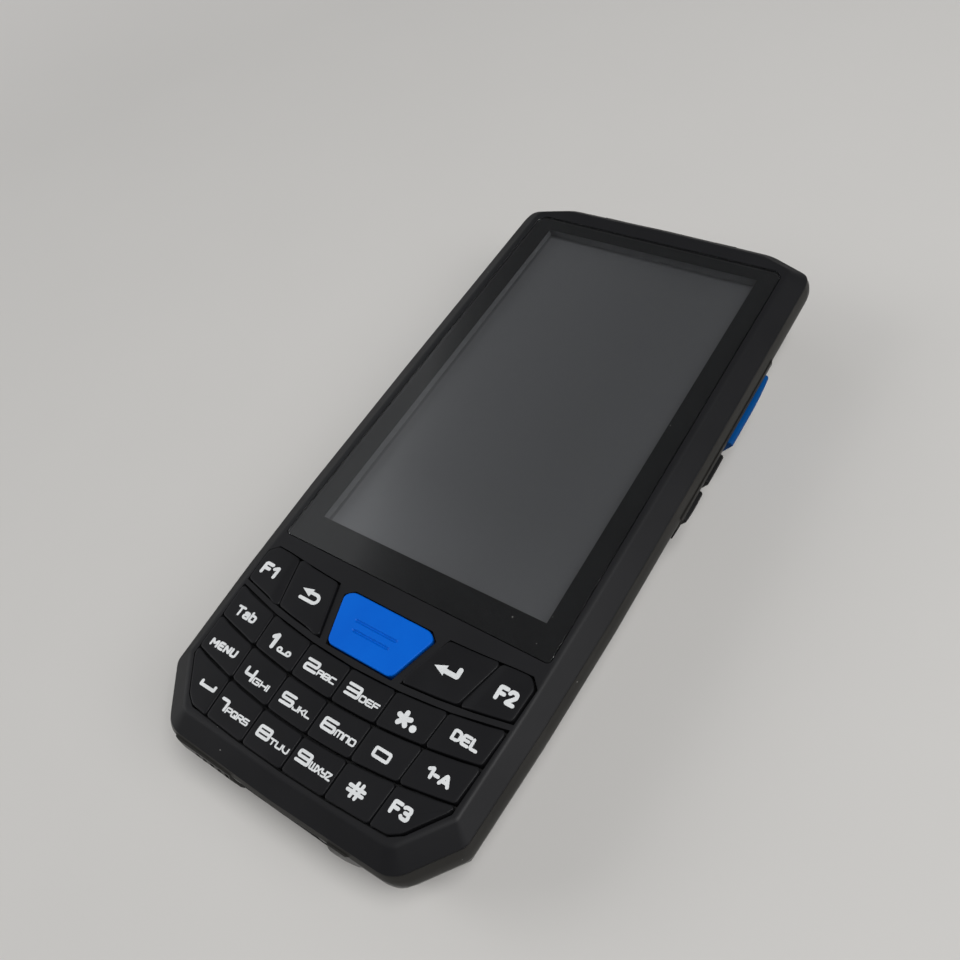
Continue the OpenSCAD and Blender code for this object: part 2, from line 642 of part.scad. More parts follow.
module cover_glass() {
    color(SMOKE) slab(glass_outline(0), glass_back, glass_z);
}
module glass_tape() {
    color(RUBBER) difference() {
        slab(glass_outline(0.3), seat_z, glass_back);
        block([-29.4, window_y - 51, seat_z - 1], [29.4, window_y + 51, glass_back + 1]);
    }
}
module frame_block(x, y0, y1, z0, z1, rim) {
    difference() {
        block([-x, y0, z0], [x, y1, z1]);
        block([-x + rim, y0 + rim, z0 - 1], [x - rim, y1 - rim, z1 + 1]);
    }
}
panel_x = 29.3;
panel_low = -33.5;
panel_high = 72.6;
module display_gasket() {
    color(RUBBER) frame_block(28.9, window_y - 50.5, window_y + 50.5, panel_z, glass_back, 0.45);
}
module lcd_panel() {
    color([0.30, 0.31, 0.33])
        block([-panel_x, panel_low, panel_z - panel_t], [panel_x, panel_high, panel_z]);
}
module backlight_tray() {
    z = panel_z - panel_t - tray_t;
    color([0.85, 0.86, 0.88]) block([-panel_x, panel_low, z], [panel_x, panel_high, z + tray_t]);
}
module display_ribbon() {
    z0 = board_z + board_t;
    z1 = panel_z - panel_t - 0.5;
    y = panel_low - 0.1;
    profile = [[y + 0.1, z1], [y - 1.6, z1], [y - 2.3, z1 - 0.7], [y - 2.3, z0 + 0.9],
        [y - 1.6, z0 + 0.2], [y + 3, z0 + 0.2], [y + 3, z0], [y - 1.7, z0], [y - 2.5, z0 + 0.8],
        [y - 2.5, z1 - 0.6], [y - 1.7, z1 + 0.2], [y + 0.1, z1 + 0.2]];
    color([0.75, 0.45, 0.12]) translate([-9, 0, 0]) rotate([90, 0, 90])
        linear_extrude(18) polygon(profile);
}
// Frame that carries the display above and the keypad board below it
module chassis() {
    top = panel_z - 0.2;
    step_y = -36.6;
    color(STEEL)
    difference() {
        union() {
            block([-31, panel_low - 0.1, chassis_z], [31, 75.4, chassis_z + chassis_t]);
            for (s = [-1, 1])
                block([s * 30.2 - 0.8, panel_low, chassis_z], [s * 30.2 + 0.8, 72, top]);
            block([-31, panel_high + 0.1, chassis_z], [31, panel_high + 1.4, top]);
            intersection() {
                slab(even_ring(3.1), keypad_board_z - chassis_t, keypad_board_z);
                block([-40, base_y, 10], [40, step_y, 20]);
            }
            for (s = [-1, 1])
                block([s * 21 - 9, step_y - 0.9, chassis_z], [s * 21 + 9, panel_low + 0.2,
                    keypad_board_z]);
        }
        at_bosses() translate([0, 0, 5]) cylinder(h = 20, r = 2.7);
        block([-10, -60, chassis_z - 1], [10, -50, keypad_board_z + 1]);
        block([-20, 0, chassis_z - 1], [20, 50, chassis_z + chassis_t + 1]);
        block([-panel_x, panel_low, chassis_z + chassis_t], [panel_x, panel_high, 25]);
    }
}

// ---------- Keypad layers ----------

function middle(points) = [for (k = [0, 1])
    (min([for (p = points) p[k]]) + max([for (p = points) p[k]])) / 2];
KEY_PLACES = concat([middle(F2_KEY), middle(mirror_x(F2_KEY)), middle(ENTER_KEY),
    middle(mirror_x(ENTER_KEY)), middle(SCAN_KEY)],
    [for (n = [0 : 2]) for (c = [0 : 3]) middle(inner_key(n, c))],
    [for (n = [0 : 2]) for (s = [-1, 1])
        let (p = middle(outer_key(n)) + (n < 2 ? [0, 0] : [-1.6, 1.9])) [s * p[0], p[1]]]);

module keypad_sheet(z0, z1, move) {
    difference() {
        intersection() {
            slab(even_ring(move), z0, z1);
            block([-40, base_y, z0], [40, screen_end - 0.2, z1]);
        }
        at_bosses() translate([0, 0, 5]) cylinder(h = 20, r = 2.5);
    }
}
module keypad_mat() {
    low = mat_top - mat_t - pad_t;
    color([0.16, 0.16, 0.17]) difference() {
        union() {
            keypad_sheet(low, mat_top - 0.12, 2.6);
            for (p = KEY_PLACES) translate([p[0], p[1], mat_top - 0.3])
                cylinder(h = key_base - mat_top + 0.3, r = 2.4);
        }
        // Hollow under the sheet, where the key domes work
        intersection() {
            slab(even_ring(4.4), low - 1, low + pad_t);
            block([-40, base_y, low - 1], [40, screen_end - 2, mat_top]);
        }
    }
}
module keypad_board() {
    color(BOARD_GREEN) union() {
        keypad_sheet(keypad_board_z, keypad_board_z + keypad_board_t, 2.6);
        for (p = KEY_PLACES) translate([p[0], p[1], keypad_board_z + keypad_board_t - eps])
            cylinder(h = 0.32, r1 = 2.5, r2 = 1.6, $fn = 24);
    }
}

// ---------- Electronics ----------

module main_board() {
    z = board_z;
    color(BOARD_GREEN) difference() {
        union() {
            intersection() {
                soft_block([-29.5, -76.5, z], [29.5, 56, z + board_t], 2);
                slab(even_ring(4.4), z - 1, z + 2);
            }
            // Processor, memory and power chips
            block([-6, 4, z + board_t - eps], [8, 18, z + board_t + 1.1]);
            block([12, 6, z + board_t - eps], [22, 16, z + board_t + 0.9]);
            block([-22, -30, z + board_t - eps], [-12, -20, z + board_t + 1.2]);
            block([4, -28, z + board_t - eps], [16, -18, z + board_t + 1]);
        }
        at_bosses() translate([0, 0, z - 1]) cylinder(h = 4, r = 2.9);
        translate([lens_at[0], lens_at[1] - 4, z - 1]) cylinder(h = 4, r = 6);
    }
}
module shield_can() {
    z = board_z + board_t;
    color(STEEL) difference() {
        block([-10, 1, z], [26, 21, z + 1.6]);
        block([-9.7, 1.3, z - 1], [25.7, 20.7, z + 1.35]);
    }
}
module usb_socket() {
    y0 = base_y + 1.5;
    z = board_z + board_t;
    color(STEEL) difference() {
        soft_shell(4.5, 1.6, y0, y0 + 7.5);
        soft_shell(4.2, 1.3, y0 - 1, y0 + 6.9);
    }
    color(RUBBER) block([flap_mid - 3.2, y0 + 0.6, usb_z - 0.35], [flap_mid + 3.2, y0 + 7.2,
        usb_z + 0.35]);
}
module soft_shell(half, half_h, y0, y1) {
    r = half_h - 0.1;
    translate([flap_mid, y1, usb_z]) rotate([90, 0, 0])
        linear_extrude(y1 - y0) polygon(outline([[-half, -half_h], [half, -half_h],
            [half, half_h], [-half, half_h]], [r, r, r, r], [4, 4, 4, 4], [0, 0, 0, 0]));
}
module speaker() {
    color(BLACK) difference() {
        soft_block([-22.6, base_y + 1.9, board_z + board_t], [-10.6, base_y + 12.5,
            board_z + board_t + 3.6], 1.5);
        block([-20.6, base_y, board_z + board_t + 1], [-12.2, base_y + 3,
            board_z + board_t + 2.8]);
    }
}
module vibration_motor() {
    color(STEEL) translate([22, -62, board_z + board_t]) union() {
        cylinder(h = 2.7, r = 5);
        cylinder(h = 3, r = 2);
    }
}
engine_y = top_y - wall_in - 0.2;
module scan_engine() {
    z0 = scan_z0 + 0.7;
    z1 = scan_z1 - 0.7;
    mid = (z0 + z1) / 2;
    color(SMOKE) difference() {
        block([-10.6, engine_y - 12, z0], [10.6, engine_y - 0.2, z1]);
        translate([0, engine_y + 1, mid]) rotate([90, 0, 0]) cylinder(h = 4, r = 3.2);
        translate([-7.4, engine_y + 1, mid]) rotate([90, 0, 0]) cylinder(h = 3, r = 2);
        translate([7.4, engine_y + 1, mid]) rotate([90, 0, 0]) cylinder(h = 3, r = 2);
    }
    color([0.3, 0.1, 0.1]) {
        translate([0, engine_y - 1, mid]) rotate([90, 0, 0]) cylinder(h = 2.2, r = 2.6);
        translate([-7.4, engine_y - 0.6, mid]) rotate([90, 0, 0]) cylinder(h = 1.6, r = 1.7);
        translate([7.4, engine_y - 0.6, mid]) rotate([90, 0, 0]) cylinder(h = 1.6, r = 1.7);
    }
}
module scan_bracket() {
    z0 = scan_z0 + 0.7;
    z1 = scan_z1 - 0.7;
    color(STEEL) difference() {
        block([-12.6, engine_y - 13.2, 2.2], [12.6, engine_y - 1, z1 - 2]);
        block([-10.7, engine_y - 12.1, z0 - eps], [10.7, engine_y, z1 + 1]);
        block([-9, engine_y - 11, 0], [9, engine_y - 3, z0 + 1]);
    }
}
module scan_window() {
    color([0.10, 0.10, 0.12]) block([-scan_w / 2, scan_y - 1.2, scan_z0],
        [scan_w / 2, scan_y, scan_z1]);
}
module camera_module() {
    color(BLACK) translate([lens_at[0], lens_at[1], 0]) union() {
        block([-4.6, -4.6, 3.6], [4.6, 4.6, 9]);
        translate([0, 0, 1.3]) cylinder(h = 4.2, r = 3.4);
    }
}
module camera_window() {
    color(SMOKE) translate([lens_at[0], lens_at[1], 0.15]) cylinder(h = 0.85, r = lens_r);
}
module antenna_flex() {
    color([0.75, 0.45, 0.12]) block([15, 46, 2.2], [28, 70, 2.5]);
}

// ---------- Side buttons and port flap ----------

// Section of a button head that reaches out to x, flush with the wall at its lower edge
function head_section(x) = [[flange_x - flange_t, button_z0], [max(x - 3.1, 36.6), button_z0],
    [x - 0.12, button_z1 - 1.2], [x, button_z1 - 0.7], [x - 0.2, button_z1 - 0.15],
    [x - 0.6, button_z1], [flange_x - flange_t, button_z1]];
// Head that falls away by its own amount towards each end, and the flange that keeps it in
// the shell. fall[0] is at the upper end and fall[1] at the lower end.
module side_button(y, length, reach, fall) {
    stations = [-0.5, -0.48, -0.25, 0, 0.25, 0.48, 0.5];
    sections = [for (t = stations) head_section(reach - fall[t < 0 ? 0 : 1] * 4 * t * t
        - (abs(t) > 0.49 ? 0.3 : 0))];
    translate([0, y, 0]) rotate([90, 0, 0]) loft(sections, length * stations);
    block([flange_x - flange_t, y - length / 2 - 0.9, button_z0 - 0.9],
        [flange_x, y + length / 2 + 0.9, button_z1 + 0.8]);
}
module trigger_right() { color(BLUE) side_button(trigger_y, trigger_l, trigger_x, [0.5, 0.05]); }
module trigger_left() { color(BLUE) mirror([1, 0, 0]) side_button(trigger_y, trigger_l,
    trigger_x, [0.5, 0.05]); }
module volume_up() { color(BLACK) side_button(up_y, button_l, button_x, [0.05, 0.05]); }
module volume_down() { color(BLACK) side_button(down_y, button_l, button_x, [0.05, 0.2]); }
module power_button() { color(BLACK) mirror([1, 0, 0]) side_button(up_y, button_l, button_x,
    [0.05, 0.05]); }

// Strip with a switch behind each button, one strip on each side
module switch_strip(places) {
    x = flange_x - flange_t;
    low = min(places) - 6;
    color([0.75, 0.45, 0.12]) union() {
        block([x - 2.2, low, 11.4], [x - 1.9, 46, 14.4]);
        block([x - 7.6, 29, board_z + board_t], [x - 2, 35, board_z + board_t + 0.3]);
    }
    color(STEEL) for (y = places) union() {
        block([x - 1.9, y - 2.2, 11.7], [x - 1.2, y + 2.2, 14.1]);
        translate([x - 1.2, y, 12.9]) rotate([0, 90, 0]) cylinder(h = 0.4, r = 0.8);
    }
}
module side_switches() {
    switch_strip([trigger_y, up_y, down_y]);
    mirror([1, 0, 0]) switch_strip([trigger_y, up_y]);
}

module port_flap() {
    gap = 0.25;
    low = flap_low_x + gap;
    high = flap_high_x - gap;
    color(RUBBER) union() {
        difference() {
            block([low, flap_face, hinge_z], [high, flap_floor - 0.1, flap_top - gap]);
            // Finger notch at the upper edge
            along_x(flap_mid, flap_face - 0.9, flap_top, 1.6, 5);
        }
        along_x(flap_mid, hinge_y, hinge_z, hinge_r, flap_high_x - flap_low_x + 1.6);
        block([flap_mid - 4.4, flap_floor - 0.2, usb_z - 1.5], [flap_mid + 4.4, flap_floor + 0.8,
            usb_z + 1.5]);
    }
}

front_cover();
rear_shell();
case_seal();
case_screws();
screw_inserts();
battery_cover();
battery_seal();
cover_screws();
cover_glass();
glass_tape();
display_gasket();
lcd_panel();
backlight_tray();
chassis();
display_ribbon();
keypad_mat();
keypad_board();
main_board();
shield_can();
usb_socket();
speaker();
vibration_motor();
scan_engine();
scan_bracket();
scan_window();
camera_module();
camera_window();
battery_pack();
battery_contacts();
side_switches();
antenna_flex();
port_flap();
trigger_right();
trigger_left();
volume_up();
volume_down();
power_button();
key_f1();
key_back();
key_scan();
key_enter();
key_f2();
key_tab();
key_1();
key_2();
key_3();
key_star();
key_del();
key_menu();
key_4();
key_5();
key_6();
key_0();
key_shift();
key_space();
key_7();
key_8();
key_9();
key_hash();
key_f3();
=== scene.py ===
"""Handheld barcode data terminal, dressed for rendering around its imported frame.

Sizes are written in millimetres and turned into metres where a mesh is made.
"""

import json
import logging
import math
from dataclasses import dataclass, field
from enum import Enum
from typing import Any, Callable

import bmesh
import bpy
import numpy as np
from bpy.types import Material, Mesh, NodeSocket, NodeTree, Object
from mathutils import Matrix, Vector
from mathutils.geometry import delaunay_2d_cdt

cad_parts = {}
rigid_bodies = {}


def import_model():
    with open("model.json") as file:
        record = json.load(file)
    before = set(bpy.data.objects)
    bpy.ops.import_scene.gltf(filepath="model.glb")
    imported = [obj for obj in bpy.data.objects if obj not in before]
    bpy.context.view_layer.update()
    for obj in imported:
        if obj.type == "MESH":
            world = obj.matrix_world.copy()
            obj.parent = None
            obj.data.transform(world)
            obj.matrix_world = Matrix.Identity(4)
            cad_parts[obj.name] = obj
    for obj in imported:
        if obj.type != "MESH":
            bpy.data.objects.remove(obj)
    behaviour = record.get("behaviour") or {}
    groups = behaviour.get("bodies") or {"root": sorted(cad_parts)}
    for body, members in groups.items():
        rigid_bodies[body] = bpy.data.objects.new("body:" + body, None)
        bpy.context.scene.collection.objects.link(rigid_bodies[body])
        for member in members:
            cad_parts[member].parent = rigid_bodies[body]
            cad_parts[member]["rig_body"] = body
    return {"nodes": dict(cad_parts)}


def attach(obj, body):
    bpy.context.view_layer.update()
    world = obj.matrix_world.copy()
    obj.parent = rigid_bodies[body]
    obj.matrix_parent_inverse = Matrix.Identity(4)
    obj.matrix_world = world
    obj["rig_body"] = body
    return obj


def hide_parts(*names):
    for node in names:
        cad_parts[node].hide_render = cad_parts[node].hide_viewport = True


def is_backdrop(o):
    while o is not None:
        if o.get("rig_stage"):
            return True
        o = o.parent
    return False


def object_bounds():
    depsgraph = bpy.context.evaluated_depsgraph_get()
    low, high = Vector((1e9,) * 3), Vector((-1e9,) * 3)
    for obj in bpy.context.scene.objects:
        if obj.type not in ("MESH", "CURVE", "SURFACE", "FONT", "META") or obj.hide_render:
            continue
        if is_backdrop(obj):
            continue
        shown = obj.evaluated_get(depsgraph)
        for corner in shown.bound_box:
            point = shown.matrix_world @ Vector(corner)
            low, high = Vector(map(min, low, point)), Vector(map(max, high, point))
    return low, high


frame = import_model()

MM = 0.001
Array = np.ndarray
Pair = tuple[float, float]
Triple = Colour = tuple[float, float, float]
Box = tuple[float, float, float, float]
log = logging.getLogger("terminal")


def tone(red: float, green: float, blue: float) -> Colour:
    """Linear colour from screen values of 0 to 255."""
    values = np.array([red, green, blue]) / 255
    linear = np.where(values <= 0.04045, values / 12.92, ((values + 0.055) / 1.055) ** 2.4)
    return tuple(float(v) for v in linear)


# ---------- Node trees ----------


class Graph:
    """Short calls for filling a node tree."""

    def __init__(self, tree: NodeTree) -> None:
        """Works on the given tree."""
        self.tree = tree

    def add(self, kind: str, inputs: dict | None = None, **settings: Any) -> Any:
        """Adds a node.

        Args:
            kind: Blender's type name of the node.
            inputs: socket name or number, with a value or an output socket to join to it.
            settings: properties of the node, set before its inputs.

        Returns:
            The outputs of the new node.
        """
        node = self.tree.nodes.new(kind)
        for key, value in settings.items():
            setattr(node, key, value)
        for key, value in (inputs or {}).items():
            if isinstance(value, NodeSocket):
                self.tree.links.new(value, node.inputs[key])
            else:
                node.inputs[key].default_value = value
        return node.outputs

    def math(self, operation: str, *values: Any) -> NodeSocket:
        """Result of a Math node on the given numbers or sockets."""
        return self.add("ShaderNodeMath", dict(enumerate(values)), operation=operation)[0]

    def mix(self, factor: Any, first: Any, second: Any) -> NodeSocket:
        """Colour between two colours or colour sockets."""
        first, second = (c if isinstance(c, NodeSocket) else (*c, 1) for c in (first, second))
        return self.add("ShaderNodeMix", {0: factor, 6: first, 7: second}, data_type="RGBA")[2]

    def spread(self, value: Any, low: float, high: float, to_low: float = 0, to_high: float = 1) -> Any:
        """Value mapped from one range to another and held inside it."""
        return self.add("ShaderNodeMapRange", {0: value, 1: low, 2: high, 3: to_low, 4: to_high})[0]

    def place(self) -> NodeSocket:
        """The point on the object, in metres."""
        return self.add("ShaderNodeTexCoord")["Object"]

    def noise(self, scale: Any, detail: float, roughness: float = 0.5) -> Any:
        """Noise over the object, with its scale per metre."""
        return self.add("ShaderNodeTexNoise", {"Vector": self.place(), "Scale": scale,
                                               "Detail": detail, "Roughness": roughness})[0]

    def bump(self, height: Any, depth: float, strength: float = 1.0) -> Any:
        """Normal of a face that a height of 0 to 1 raises by up to depth, in metres."""
        return self.add("ShaderNodeBump", {"Strength": strength, "Distance": depth, "Height": height})[0]

    def blend(self, factor: Any, first: Any, second: Any) -> Any:
        """Shader between two shaders."""
        return self.add("ShaderNodeMixShader", {0: factor, 1: first, 2: second})[0]


def shader_group(name: str, inputs: dict[str, float], outputs: tuple[str, ...],
                 fill: Callable[[Graph, Any], dict[str, Any]]) -> NodeTree:
    """Shader node group, built once and found again by its name.

    Args:
        name: name of the group.
        inputs: number inputs with their defaults.
        outputs: names of the number outputs.
        fill: adds the nodes and returns the socket for each output.

    Returns:
        The node group.
    """
    found = bpy.data.node_groups.get(name)
    if found:
        return found
    tree = bpy.data.node_groups.new(name, "ShaderNodeTree")
    for key, value in inputs.items():
        socket = tree.interface.new_socket(key, in_out="INPUT", socket_type="NodeSocketFloat")
        socket.default_value = value
    for key in outputs:
        tree.interface.new_socket(key, in_out="OUTPUT", socket_type="NodeSocketFloat")
    graph = Graph(tree)
    graph.add("NodeGroupOutput", fill(graph, graph.add("NodeGroupInput")))
    return tree


FINE_SHARE = 0.7
COARSER = 0.35
SPECK_CELLS = 420.0
SMUDGE_SCALE = 38.0
DUST = tone(190, 188, 184)
DUST_COVER = 0.6
# Reach and range of the ambient occlusion that paints shade into narrow recesses.
HOLLOW_SHADE_REACH = 1.5 * MM
HOLLOW_SHADE_RANGE = (0.35, 0.85)


def moulded_grain() -> NodeTree:
    """Fine grain of a moulded face, and the slow mottling of its colour."""

    def fill(graph: Graph, given: Any) -> dict[str, Any]:
        """Fine noise over a coarser one for the height, slow noise for the mottling."""
        fine = graph.noise(graph.math("DIVIDE", 1.0, given["Grain Size"]), 3, 0.6)
        coarse = graph.noise(graph.math("DIVIDE", COARSER, given["Grain Size"]), 1)
        height = graph.math("ADD", graph.math("MULTIPLY", fine, FINE_SHARE),
                            graph.math("MULTIPLY", coarse, 1 - FINE_SHARE))
        mottle = graph.noise(graph.math("DIVIDE", 1.0, given["Mottle Size"]), 3, 0.55)
        return {"Height": height, "Mottle": graph.spread(mottle, 0.3, 0.7)}

    return shader_group("moulded_grain", {"Grain Size": 0.0003, "Mottle Size": 0.02},
                        ("Height", "Mottle"), fill)


def handling_marks() -> NodeTree:
    """Specks of dust, and the uneven gloss that hands leave."""

    def fill(graph: Graph, given: Any) -> dict[str, Any]:
        """Small dots in a few cells of a cell pattern, and slow noise for the gloss."""
        cells = graph.add("ShaderNodeTexVoronoi", {"Vector": graph.place(), "Scale": SPECK_CELLS})
        dot = graph.math("LESS_THAN", cells["Distance"], given["Speck Radius"])
        chosen = graph.add("ShaderNodeSeparateColor", {0: cells["Color"]})[0]
        few = graph.math("LESS_THAN", chosen, given["Share"])
        smudge = graph.spread(graph.noise(SMUDGE_SCALE, 4, 0.6), 0.35, 0.7, -0.5, 0.5)
        return {"Dust": graph.math("MULTIPLY", dot, few), "Gloss Shift": smudge}

    return shader_group("handling_marks", {"Speck Radius": 0.05, "Share": 0.15},
                        ("Dust", "Gloss Shift"), fill)


def new_material(name: str, shade: Callable[[Graph], Any]) -> Material:
    """Material, built once and found again by its name.

    Args:
        name: name of the material.
        shade: adds the nodes and returns the socket of the finished shader.

    Returns:
        The material.
    """
    found = bpy.data.materials.get(name)
    if found:
        return found
    material = bpy.data.materials.new(name)
    material.use_nodes = True
    material.node_tree.nodes.clear()
    graph = Graph(material.node_tree)
    graph.add("ShaderNodeOutputMaterial", {0: shade(graph)})
    return material


# ---------- Finishes, with their colours as screen values ----------


@dataclass(frozen=True)
class Moulding:
    """Moulded plastic or rubber: two close colours, a gloss and a grain.

    Its shine is multiplied by grazing at low angles, from the first to the second share of turned
    away. Painted shade: narrow recesses, found by ambient occlusion, get their colour and shine
    darkened by the given share.
    """

    name: str
    dark: Colour
    light: Colour
    roughness: float = 0.5
    uneven: float = 0.08
    specular: float = 0.5
    grain: float = 0.35
    depth: float = 0.01
    mottle: float = 18.0
    dust: float = 0.12
    grazing: float = 0.2
    hollow_shade: float = 0.0
    away: Pair = (0.5, 0.8)

    def shade(self, graph: Graph) -> Any:
        """Principled shader with mottled colour, a few specks, smudged gloss and grain."""
        grain = graph.add("ShaderNodeGroup", {"Grain Size": self.grain * MM, "Mottle Size": self.mottle * MM},
                          node_tree=moulded_grain())
        marks = graph.add("ShaderNodeGroup", {"Share": self.dust}, node_tree=handling_marks())
        colour = graph.mix(grain["Mottle"], tone(*self.dark), tone(*self.light))
        facing = graph.add("ShaderNodeLayerWeight", {"Blend": 0.5})["Facing"]
        shine = graph.spread(facing, *self.away, self.specular, self.specular * self.grazing)
        # Painted shade: ambient occlusion darkens the colour and the shine in narrow recesses.
        if self.hollow_shade:
            nearby = graph.add("ShaderNodeAmbientOcclusion", {"Distance": HOLLOW_SHADE_REACH}, samples=8)["AO"]
            unshaded_share = graph.spread(nearby, *HOLLOW_SHADE_RANGE, 1 - self.hollow_shade, 1.0)
            colour = graph.mix(unshaded_share, (0.0, 0.0, 0.0), colour)
            shine = graph.math("MULTIPLY", shine, unshaded_share)
        return graph.add("ShaderNodeBsdfPrincipled", {
            "Base Color": graph.mix(graph.math("MULTIPLY", marks["Dust"], DUST_COVER), colour, DUST),
            "Roughness": graph.math("MULTIPLY_ADD", marks["Gloss Shift"], self.uneven, self.roughness),
            "Normal": graph.bump(grain["Height"], self.depth * MM), "Specular IOR Level": shine})[0]


@dataclass(frozen=True)
class Metal:
    """Bare metal with a fine drawn or cast surface."""

    name: str
    dark: Colour
    light: Colour
    roughness: float = 0.35
    grain: float = 0.25
    depth: float = 0.004
    mottle: float = 8.0
    uneven: float = 0.12

    def shade(self, graph: Graph) -> Any:
        """Metallic Principled shader with uneven gloss and fine grain."""
        grain = graph.add("ShaderNodeGroup", {"Grain Size": self.grain * MM, "Mottle Size": self.mottle * MM},
                          node_tree=moulded_grain())
        return graph.add("ShaderNodeBsdfPrincipled", {
            "Base Color": graph.mix(grain["Mottle"], tone(*self.dark), tone(*self.light)), "Metallic": 1.0,
            "Roughness": graph.math("MULTIPLY_ADD", grain["Mottle"], self.uneven, self.roughness),
            "Normal": graph.bump(grain["Height"], self.depth * MM)})[0]


@dataclass(frozen=True)
class ClearGlass:
    """Clear glass that lets the light of the lamps straight through to what lies behind it."""

    name: str
    tint: Colour = (0.97, 0.98, 0.98)
    dust: float = 0.1
    smear: float = 0.03

    def shade(self, graph: Graph) -> Any:
        """Transmissive Principled shader with faint smears, open to shadow rays."""
        marks = graph.add("ShaderNodeGroup", {"Share": self.dust}, node_tree=handling_marks())
        glass = graph.add("ShaderNodeBsdfPrincipled", {
            "Base Color": graph.mix(marks["Dust"], self.tint, tone(225, 225, 222)),
            "Roughness": graph.spread(marks["Gloss Shift"], 0.1, 0.5, 0.0, self.smear),
            "IOR": 1.5, "Transmission Weight": 1.0})[0]
        clear = graph.add("ShaderNodeBsdfTransparent", {"Color": (*self.tint, 1)})[0]
        path = graph.add("ShaderNodeLightPath")
        return graph.blend(graph.math("MAXIMUM", path["Is Shadow Ray"], path["Is Diffuse Ray"]), glass, clear)


@dataclass(frozen=True)
class ScreenFace:
    """Face of a switched-off liquid crystal panel: a grey picture area in a darker edge."""

    name: str
    picture: Colour
    edge: Colour
    half_width: float
    half_length: float
    middle_y: float
    # Painted reflection: how many times paler the picture is painted at most, and over which ranges of x and
    # y.
    sheen_gain: float = 2.05
    sheen_x: Pair = (10.0, -28.0)
    sheen_y: Pair = (-8.0, -28.0)
    sheen_shares: Triple = (0.35, 0.17, 0.48)

    def shade(self, graph: Graph) -> Any:
        """Picture area told from its edge by the place on the object, under a satin surface with a painted
        reflection.

        The picture is painted paler towards the lower left, for reflected room light, by the share
        s0 l + s1 b + s2 l b, where l rises from 0 to 1 leftwards and b downwards over their given ranges.
        """
        x, y, _ = graph.add("ShaderNodeSeparateXYZ", {0: graph.place()})
        along = graph.math("ABSOLUTE", graph.math("SUBTRACT", y, self.middle_y * MM))
        inside = graph.math("MULTIPLY",
                            graph.math("LESS_THAN", graph.math("ABSOLUTE", x), self.half_width * MM),
                            graph.math("LESS_THAN", along, self.half_length * MM))
        left, base = (graph.spread(v, a * MM, b * MM) for v, (a, b) in ((x, self.sheen_x), (y, self.sheen_y)))
        both = graph.math("MULTIPLY_ADD", graph.math("MULTIPLY", left, base), self.sheen_shares[2],
                          graph.math("MULTIPLY", left, self.sheen_shares[0]))
        # Painted reflection: the picture is painted paler towards the lower left, in place of the room's
        # light reflected there.
        picture = tone(*self.picture)
        sheened_picture = graph.mix(graph.math("MULTIPLY_ADD", base, self.sheen_shares[1], both), picture,
                         tuple(c * self.sheen_gain for c in picture))
        grain = graph.add("ShaderNodeGroup", {"Grain Size": 0.0001}, node_tree=moulded_grain())
        return graph.add("ShaderNodeBsdfPrincipled", {
            "Base Color": graph.mix(inside, tone(*self.edge), sheened_picture),
            "Roughness": graph.spread(grain["Height"], 0.3, 0.7, 0.3, 0.36),
            "Specular IOR Level": 1.0})[0]


@dataclass(frozen=True)
class Circuit:
    """Lacquered circuit board or flexible circuit with fine conductor lines."""

    name: str
    lacquer: Colour
    line: Colour
    roughness: float = 0.4
    cells: float = 320.0
    rings: float = 5.0
    bare: float = 0.45
    depth: float = 0.03

    def shade(self, graph: Graph) -> Any:
        """Conductor lines as the borders of a square cell pattern, raised under the lacquer."""
        cells = graph.add("ShaderNodeTexVoronoi", {"Vector": graph.place(), "Scale": self.cells},
                          distance="CHEBYCHEV", feature="F1")
        ring = graph.math("FRACT", graph.math("MULTIPLY", cells["Distance"], self.rings))
        mask = graph.math("LESS_THAN", ring, self.bare)
        return graph.add("ShaderNodeBsdfPrincipled", {
            "Base Color": graph.mix(mask, tone(*self.lacquer), tone(*self.line)),
            "Roughness": graph.math("MULTIPLY_ADD", mask, 0.1, self.roughness),
            "Normal": graph.bump(mask, self.depth * MM, 0.6)})[0]


